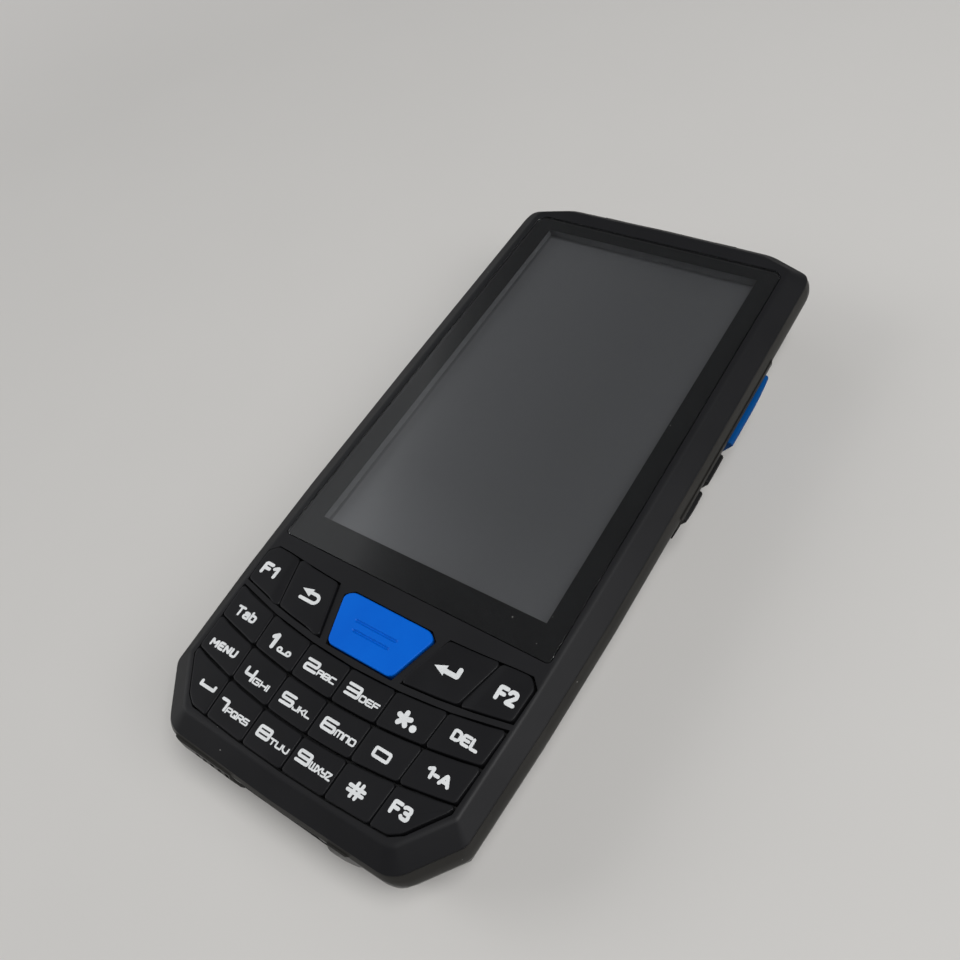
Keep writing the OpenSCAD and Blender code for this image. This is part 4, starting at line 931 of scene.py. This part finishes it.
@dataclass
class KeyCap:
    """One key: straight sides, a rolled edge and a slightly crowned top, with its printed legend.

    Attributes:
        key: name of the key.
        outline: its outline before the gaps, anticlockwise.
        finish: its finish.
        slot: material slot of the record.
        corner: how far from a corner its rounding starts.
        facet: x at the top and at the bottom of the ridge of its sloped side, if it has one.
        grooves: place along y and both ends along x of each engraved line.
        gap: gap on the sides towards other rows.
        side_gap: gap on the sides that it shares with a neighbour of its row.
        edge_gap: gap on the outer side of the keypad, beyond outer_x.
        thick: how far the print stands on the key.
    """

    key: str
    outline: Array
    finish: Finish = Finish.KEY
    slot: str = "key_black"
    corner: float = 0.7
    facet: Pair | None = None
    grooves: tuple[Triple, ...] = ()
    gap: float = 0.2
    side_gap: float = 0.17
    edge_gap: float = 0.32
    outer_x: float = 25.5
    foot_z: float = 20.7
    top_z: float = 23.16
    roll: float = 0.26
    crown: float = 0.05
    step: float = 0.7
    rings: int = 12
    thick: float = 0.03
    facet_fall: float = 0.16
    facet_bend: float = 6.0
    groove_depth: float = 0.3
    groove_bank: float = 0.3

    def height(self, points: Array) -> Array:
        """Height of the top face: crowned along both axes, less its sloped side and its grooves.

        At a distance d beyond its ridge the sloped side lies lower by f ln(1 + exp(b d)) / b.
        """
        low, high = self.outline.min(0), self.outline.max(0)
        part = (points - (low + high) / 2) / ((high - low) / 2)
        z = self.top_z - self.crown * (part**2).sum(-1)
        if self.facet:
            top, base = self.facet
            share = (high[1] - points[..., 1]) / (high[1] - low[1])
            beyond = (top + (base - top) * share - points[..., 0]) * math.copysign(1, top)
            bent_off = np.log1p(np.exp(np.clip(beyond * self.facet_bend, -30, 30))) / self.facet_bend
            z = z - self.facet_fall * bent_off
        for y, start, end in self.grooves:
            across = np.clip(1.3 - np.abs(points[..., 1] - y) / self.groove_bank, 0, 1)
            inside = np.minimum(points[..., 0] - start, end - points[..., 0])
            z = z - self.groove_depth * across * np.clip(inside / self.groove_bank, 0, 1)
        return z

    def build(self) -> Object:
        """Lofts the rings of the key.

        The outline is moved in for the gap and rounded: a corner that turns by t gets the radius
        reach / tan(t / 2), so that its rounding starts at the same reach from every corner. Rings
        follow the foot, the side and a quarter circle over the edge, and then shrink towards the
        middle: ring = middle + share x (edge - middle). Each ring takes its height from the top
        face less the roll.

        Returns:
            The key's object.
        """
        unit = edges_of(self.outline)[0]
        upright = np.abs(unit[:, 1]) > np.abs(unit[:, 0])
        beside = np.where(np.abs(self.outline[:, 0]) < self.outer_x, self.side_gap, self.edge_gap)
        base = inset(self.outline, np.where(upright, beside, self.gap))
        unit, length = edges_of(base)
        turn = np.arcsin(np.clip(cross(np.roll(unit, 1, 0), unit), -1, 1))
        steps = np.where(turn > math.radians(15), 5, 0)
        reach = np.minimum(self.corner, 0.45 * np.minimum(length, np.roll(length, 1)))
        radii = reach / np.tan(np.maximum(turn, 0.1) / 2)

        def ring(move: float) -> Array:
            """Rounded outline moved in by a distance, and by half of it on upright edges."""
            moved = inset(base, move * np.where(upright, 0.5, 1.0))
            return rounded(moved, np.maximum(radii - move, 0.15), steps)

        counts = np.maximum(np.ceil(edges_of(ring(0))[1] / self.step), 1).astype(int)
        moves, drops = quarter(self.roll, 5)
        edge = [divided(ring(m), counts) for m in moves]
        levels = [flat_ring(divided(ring(0.1), counts), self.foot_z)]
        levels += [np.column_stack([e, self.height(e) - d]) for e, d in zip(edge, drops)]
        middle = (edge[-1].min(0) + edge[-1].max(0)) / 2
        inner = [middle + s * (edge[-1] - middle) for s in np.linspace(1, 0, self.rings + 1)[1:-1]]
        levels += [np.column_stack([p, self.height(p)]) for p in inner]
        points = np.concatenate(levels + [np.append(middle, self.height(middle[None])[0])[None]])
        around = counts.sum()
        i = np.arange(around)
        last = (len(levels) - 1) * around
        fan = np.column_stack([last + i, last + (i + 1) % around, np.full(around, len(points) - 1)])
        faces = ring_faces(len(levels), around).tolist() + fan.tolist() + [i[::-1].tolist()]
        mesh = mesh_of(f"key_{self.key}_cap", points, faces, 50)
        return stand_in(mesh, f"key_{self.key}", self.finish, self.slot)

    def print_legend(self, marks: list[Mark]) -> Object:
        """Prints the legend as one thin closed skin that follows the top face.

        All strips and discs are cut into triangles together, and the triangles that lie in one of
        them are kept, so that strokes that cross make one surface.

        Args:
            marks: marks of the legend.

        Returns:
            The legend's object.
        """
        outlines = [p for mark in marks for p in mark.polygons()]
        sizes = np.array([len(p) for p in outlines])
        starts = np.cumsum(sizes) - sizes
        loops = [list(range(s, s + n)) for s, n in zip(starts.tolist(), sizes.tolist())]
        flat = [Vector(p) for p in np.concatenate(outlines).tolist()]
        found = delaunay_2d_cdt(flat, [], loops, 1, 1e-4)
        spots = np.array([tuple(v) for v in found[0]])
        tris = np.array([f for f, source in zip(found[2], found[5]) if source])
        used, tris = np.unique(tris, return_inverse=True)
        tris = tris.reshape(-1, 3)
        spots = spots[used]
        n = len(spots)
        z = self.height(spots)
        points = np.concatenate([np.column_stack([spots, z + rise]) for rise in (self.thick, -0.04)])
        sides = np.concatenate([tris[:, [0, 1]], tris[:, [1, 2]], tris[:, [2, 0]]])
        rim = sides[~np.isin(sides[:, 0] * n + sides[:, 1], sides[:, 1] * n + sides[:, 0])]
        walls = np.column_stack([rim[:, 0] + n, rim[:, 1] + n, rim[:, 1], rim[:, 0]])
        faces = tris.tolist() + (tris[:, ::-1] + n).tolist() + walls.tolist()
        mesh = mesh_of(f"key_{self.key}_legend", points, faces)
        return add_piece(mesh, f"keycap_{self.key}", Finish.LEGEND)


@dataclass
class Keypad:
    """The 23 keys with their legends."""

    plan: KeyPlan = field(default_factory=KeyPlan)

    def caps(self) -> list[KeyCap]:
        """All keys with their outlines."""
        plan, mirrored = self.plan, KeyPlan.mirrored
        rows = [("1", "2", "3", "star"), ("4", "5", "6", "0"), ("7", "8", "9", "hash")]
        caps = [KeyCap(name, plan.inner(row, column))
                for row, names in enumerate(rows) for column, name in enumerate(names)]
        for row, (left, right) in enumerate([("tab", "del"), ("menu", "shift"), ("space", "f3")]):
            caps += [KeyCap(left, mirrored(plan.outer(row))), KeyCap(right, plan.outer(row))]
        wide = {"corner": 0.8, "side_gap": 0.2}
        return caps + [
            KeyCap("f1", mirrored(plan.function()), facet=(-26.9, -25.0), **wide),
            KeyCap("f2", plan.function(), facet=(26.9, 25.0), **wide),
            KeyCap("back", mirrored(plan.enter()), **wide), KeyCap("enter", plan.enter(), **wide),
            KeyCap("scan", plan.scan(), Finish.SCAN_KEY, "key_blue", 1.3, gap=0.0, side_gap=0.0, step=0.16,
                   grooves=((-45.9, -5.6, 4.9), (-47.9, -4.9, 4.3)), rings=60, roll=0.35)]

    def build(self) -> None:
        """Makes every key and prints its legend."""
        for cap in self.caps():
            cap.build()
            if cap.key in LEGENDS:
                cap.print_legend(LEGENDS[cap.key])


@dataclass
class Housing:
    """Front cover, rear shell and battery cover."""

    edge: float = 0.14
    door_edge: float = 0.12

    def build(self) -> None:
        """Makes the three mouldings with softened edges."""
        softened_copy("front_cover", "front_moulding", Finish.COVER, "cover_black", self.edge)
        softened_copy("rear_shell", "rear_moulding", Finish.SHELL, "shell_grey", self.edge)
        softened_copy("battery_cover", "battery_door", Finish.SHELL, "shell_grey", self.door_edge)


@dataclass
class Display:
    """Cover glass with its printed border, over the screen."""

    width: float = 66.0
    low: float = -36.0
    high: float = 74.4
    cut: float = 1.6
    roll: float = 0.06
    bevel: float = 0.12
    front_z: float = 22.5
    back_z: float = 21.46
    print_z: float = 21.4
    print_edge: float = 0.35
    window: Triple = (28.22, 49.82, 21.0)

    def outline(self, move: float) -> Array:
        """Rounded outline of the glass, moved in by a distance."""
        x, shoulder = self.width / 2, self.high - self.cut
        corners = np.array([[-x, self.low], [x, self.low], [x, shoulder], [x - self.cut, self.high],
                            [self.cut - x, self.high], [-x, shoulder]])
        radius = np.array([0.8, 0.8, 1.0, 1.0, 1.0, 1.0])
        return rounded(inset(corners, move), np.maximum(radius - move, 0.2), np.full(6, 4))

    def build_glass(self) -> Object:
        """Lofts the glass: its upper edge is rounded by a quarter circle, its lower edge is bevelled."""
        moves, drops = quarter(self.roll, 4)
        heights = [self.back_z, self.back_z + self.bevel, *(self.front_z - drops)]
        rings = [flat_ring(self.outline(m), z) for m, z in zip([self.bevel, 0.0, *moves], heights)]
        mesh = mesh_of("screen_glass", *closed_loft(rings), 30)
        return stand_in(mesh, "cover_glass", Finish.GLASS, "cover_glass")

    def build_border(self) -> Object:
        """Lays the printed border under the glass: a thin ring from the window out to the edge.

        Outer and inner ring have one point for each point of the rounded outline. The inner point
        is the outer one held inside the window's rectangle.
        """
        outer = self.outline(self.print_edge)
        x, y, middle = self.window
        inner = np.column_stack([np.clip(outer[:, 0], -x, x), np.clip(outer[:, 1], middle - y, middle + y)])
        around = len(outer)
        top, base = self.print_z + 0.05, self.print_z + 0.01
        rings = [(inner, base), (outer, base), (outer, top), (inner, top)]
        points = np.concatenate([flat_ring(r, z) for r, z in rings])
        i = np.arange(around)
        j = (i + 1) % around
        close = np.column_stack([3 * around + i, 3 * around + j, j, i])
        faces = np.concatenate([ring_faces(4, around), close])
        mesh = mesh_of("glass_border", points, faces.tolist())
        return add_piece(mesh, "case", Finish.BORDER, "black_tape")

    def build(self) -> None:
        """Makes the glass and its border."""
        self.build_glass()
        self.build_border()


@dataclass
class SideHead:
    """Head of a trigger or a side button, with the flange that keeps it in the shell.

    Attributes:
        node: CAD node that it stands for.
        middle: middle of the head along y.
        length: its length.
        reach: how far out its highest line lies.
        fall: how much that line drops towards the upper and the lower end.
        finish: its finish.
        slot: material slot of the record.
        side: 1 on the right side of the terminal, -1 on the left.
    """

    node: str
    middle: float
    length: float
    reach: float
    fall: Pair
    finish: Finish
    slot: str
    side: int = 1
    root: float = 35.3
    low: float = 10.2
    high: float = 15.6
    roll: float = 0.3
    flange_thick: float = 1.0
    flange_ends: float = 0.9
    flange_low: float = 0.9
    flange_high: float = 0.8

    def section(self, y: float, move: float) -> Array:
        """Ring of the head at y, with its outline moved in.

        The outermost line lies at reach - 4 fall s^2, where s runs from -0.5 to 0.5 over the length.
        """
        share = (y - self.middle) / self.length
        x = self.reach - self.fall[0 if share > 0 else 1] * 4 * share**2
        low, high = self.low, self.high
        flat = np.array([[self.root, low], [x - 3.1, low], [x - 0.04, high - 1.0], [x - 0.15, high - 0.25],
                         [x - 0.6, high], [self.root, high]])
        radius = np.array([0.1, 0.8, 0.6, 0.3, 0.4, 0.1])
        ring = rounded(inset(flat, move), np.maximum(radius - move, 0.04), np.array([0, 4, 4, 4, 4, 0]))
        return np.column_stack([ring[:, 0], np.full(len(ring), y), ring[:, 1]])

    def build(self) -> Object:
        """Lofts the head from its upper to its lower end, rolled off over a quarter circle at both.

        Returns:
            The head's object.
        """
        half = self.length / 2
        moves, drops = (a[::-1] for a in quarter(self.roll, 5))
        straight = np.linspace(half - self.roll, self.roll - half, 18)[1:-1]
        along = np.concatenate([half - drops, straight, drops[::-1] - half])
        inwards = np.concatenate([moves, np.zeros(16), moves[::-1]])
        points, faces = closed_loft([self.section(self.middle + y, m) for y, m in zip(along, inwards)])
        x = np.array([0, 1, 1, 0]) * self.flange_thick + self.root
        z = np.repeat([self.low - self.flange_low, self.high + self.flange_high], 2)
        flange, sides = closed_loft([np.column_stack([x, np.full(4, self.middle + y), z])
                                     for y in (half + self.flange_ends, -half - self.flange_ends)])
        faces += [[n + len(points) for n in face] for face in sides]
        points = np.concatenate([points, flange]) * [self.side, 1, 1]
        mesh = mesh_of(self.node + "_head", points, [face[::self.side] for face in faces], 40)
        return stand_in(mesh, self.node, self.finish, self.slot)


@dataclass
class SideControls:
    """Scan triggers and small buttons in both sides."""

    def heads(self) -> list[SideHead]:
        """All heads of both sides."""
        blue, black = (Finish.TRIGGER, "trigger_blue"), (Finish.BUTTON, "button_black")
        return [SideHead("trigger_right", 39.0, 21.0, 40.7, (0.5, 0.05), *blue),
                SideHead("trigger_left", 39.0, 21.0, 40.7, (0.5, 0.05), *blue, side=-1),
                SideHead("volume_up", 21.1, 8.0, 40.2, (0.05, 0.05), *black),
                SideHead("volume_down", 10.6, 8.0, 40.2, (0.05, 0.2), *black),
                SideHead("power_button", 21.1, 8.0, 40.2, (0.05, 0.05), *black, side=-1)]

    def build(self) -> None:
        """Makes every head."""
        for head in self.heads():
            head.build()


@dataclass
class PortEnd:
    """Flap over the charging port."""

    edge: float = 0.2

    def build(self) -> None:
        """Makes the flap with softened edges."""
        softened_copy("port_flap", "port_flap_rubber", Finish.RUBBER, "black_rubber", self.edge)


NODE_FINISHES = {
    Finish.COVER: "front_cover", Finish.SHELL: "rear_shell battery_cover", Finish.SCAN_KEY: "key_scan",
    Finish.TRIGGER: "trigger_right trigger_left", Finish.BUTTON: "volume_up volume_down power_button",
    Finish.RUBBER: "case_seal battery_seal port_flap", Finish.TAPE: "glass_tape",
    Finish.FOAM: "display_gasket", Finish.MAT: "keypad_mat", Finish.WINDOW: "scan_window",
    Finish.LENS: "camera_window", Finish.MODULE: "speaker scan_engine camera_module",
    Finish.SLEEVE: "battery_pack", Finish.TRAY: "backlight_tray",
    Finish.STEEL: "shield_can usb_socket vibration_motor", Finish.SCREW: "case_screws cover_screws",
    Finish.MAGNESIUM: "chassis scan_bracket", Finish.BRASS: "screw_inserts battery_contacts",
    Finish.BOARD: "keypad_board main_board", Finish.FLEX: "display_ribbon side_switches antenna_flex",
    Finish.GLASS: "cover_glass", Finish.SCREEN: "lcd_panel",
}


def dress_nodes() -> None:
    """Gives every CAD node, shown or stood for, its finish. Those that aren't listed are keys."""
    finishes = {name: finish for finish, names in NODE_FINISHES.items() for name in names.split()}
    for name, node in frame["nodes"].items():
        node.data.materials.clear()
        node.data.materials.append(finishes.get(name, Finish.KEY).material())


@dataclass
class Studio:
    """Camera, lamps, floor and surrounding light."""

    eye: Triple = (83.41, -83.23, 171.51)
    right: Triple = (0.82579, 0.52860, -0.19659)
    up: Triple = (-0.33890, 0.74374, 0.57620)
    forward: Triple = (-0.45079, 0.40919, -0.79332)
    focal: float = 877.0 / 960.0
    sensor: float = 36.0
    floor: Colour = tone(214, 212, 209)
    backdrop: Colour = tone(205, 203, 201)
    floor_half: float = 3000.0
    floor_z: float = -0.05
    floor_fade: Pair = (0.28, 0.7)
    wall_turn: float = 181.0
    wall_rise: float = 21.0
    wall_focus: float = 24.0
    wall_gain: float = 87.0
    wall_light: float = 0.55
    room_light: float = 0.06

    def build_camera(self) -> None:
        """Sets the camera from its three axes and its place."""
        data = bpy.data.cameras.new("terminal_camera")
        data.lens, data.sensor_width = self.focal * self.sensor, self.sensor
        data.clip_start, data.clip_end = 0.01, 20.0
        axes = Matrix([self.right, self.up, [-v for v in self.forward]]).transposed().to_4x4()
        axes.translation = Vector(self.eye) * MM
        camera = linked("terminal_camera", data)
        camera.matrix_world = axes
        bpy.context.scene.camera = camera

    def build_lamp(self, name: str, place: Triple, size: float, power: float,
                   colour: Colour = (1, 1, 1)) -> None:
        """Hangs a round soft lamp that faces the terminal.

        Args:
            name: name of the lamp.
            place: its middle, in metres.
            size: its width, in metres.
            power: its power in watts.
            colour: its colour.
        """
        data = bpy.data.lights.new(name, "AREA")
        data.shape, data.size, data.energy, data.color = "DISK", size, power, colour
        lamp = linked(name, data)
        lamp.location = place
        lamp.rotation_euler = (-Vector(place)).to_track_quat("-Z", "Y").to_euler()

    def build_world(self) -> None:
        """Soft light from all round with a paler wall to the left, and a plain backdrop.

        The light of a direction is room_light + min(wall_gain x^wall_focus, wall_light), where x is
        its dot product with the direction of the wall.
        """
        world = bpy.data.worlds.new("soft_room")
        world.use_nodes = True
        world.node_tree.nodes.clear()
        graph = Graph(world.node_tree)
        angle, rise = math.radians(self.wall_turn), math.radians(self.wall_rise)
        wall = (math.cos(angle) * math.cos(rise), math.sin(angle) * math.cos(rise), math.sin(rise))
        facing = graph.add("ShaderNodeVectorMath", {0: graph.add("ShaderNodeTexCoord")["Generated"], 1: wall},
                           operation="DOT_PRODUCT")["Value"]
        glow = graph.math("POWER", graph.math("MAXIMUM", facing, 0.0), self.wall_focus)
        pale = graph.math("MINIMUM", graph.math("MULTIPLY", glow, self.wall_gain), self.wall_light)
        share = graph.math("ADD", pale, self.room_light)
        light = graph.add("ShaderNodeBackground", {"Color": (0.96, 0.98, 1.0, 1), "Strength": share})[0]
        seen = graph.add("ShaderNodeBackground", {"Color": (*self.backdrop, 1), "Strength": 1.0})[0]
        to_camera = graph.add("ShaderNodeLightPath")["Is Camera Ray"]
        graph.add("ShaderNodeOutputWorld", {0: graph.blend(to_camera, light, seen)})
        bpy.context.scene.world = world

    def paint(self, graph: Graph) -> Any:
        """Faint mottling, which only the camera sees fade into the backdrop."""
        slow = graph.spread(graph.noise(9.0, 4, 0.6), 0.3, 0.7)
        matt = graph.add("ShaderNodeBsdfPrincipled", {
            "Base Color": graph.mix(slow, tuple(c * 0.98 for c in self.floor), self.floor),
            "Roughness": 0.7, "Specular IOR Level": 0.2})[0]
        away = graph.add("ShaderNodeVectorMath", {0: graph.place()}, operation="LENGTH")["Value"]
        seen = graph.add("ShaderNodeLightPath")["Is Camera Ray"]
        fade = graph.math("MULTIPLY", graph.spread(away, *self.floor_fade), seen)
        return graph.blend(fade, matt, graph.add("ShaderNodeEmission", {"Color": (*self.backdrop, 1)})[0])

    def build_floor(self) -> None:
        """Plain pale floor under the terminal."""
        corners = np.array([[-1, -1], [1, -1], [1, 1], [-1, 1]]) * self.floor_half
        mesh = mesh_of("floor", flat_ring(corners, self.floor_z), [[0, 1, 2, 3]])
        mesh.materials.append(new_material("floor_paint", self.paint))
        floor = linked("floor", mesh)
        floor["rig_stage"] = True

    def build(self) -> None:
        """Sets up the whole studio."""
        self.build_camera()
        self.build_lamp("ceiling_light", (0.62, 0.0, 1.42), 0.75, 13.6)
        self.build_lamp("rear_light", (1.1, 0.1, 0.95), 0.9, 4.7)
        self.build_lamp("left_light", (-1.1, -0.51, 0.7), 0.9, 3.4, (1.0, 0.99, 0.98))
        self.build_world()
        self.build_floor()
        bpy.context.scene.view_settings.view_transform = "Standard"


def corners() -> list[list[float]]:
    """Lowest and highest corner of what is shown, as plain lists."""
    return [[round(v, 6) for v in corner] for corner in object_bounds()]


def main() -> None:
    """Builds every sub-assembly."""
    logging.basicConfig(level=logging.INFO, format="%(message)s")
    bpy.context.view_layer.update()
    dress_nodes()
    for assembly in (Housing(), Display(), Keypad(), SideControls(), PortEnd(), Studio()):
        log.info("building %s", type(assembly).__name__)
        assembly.build()


if __name__ == "__main__":
    main()
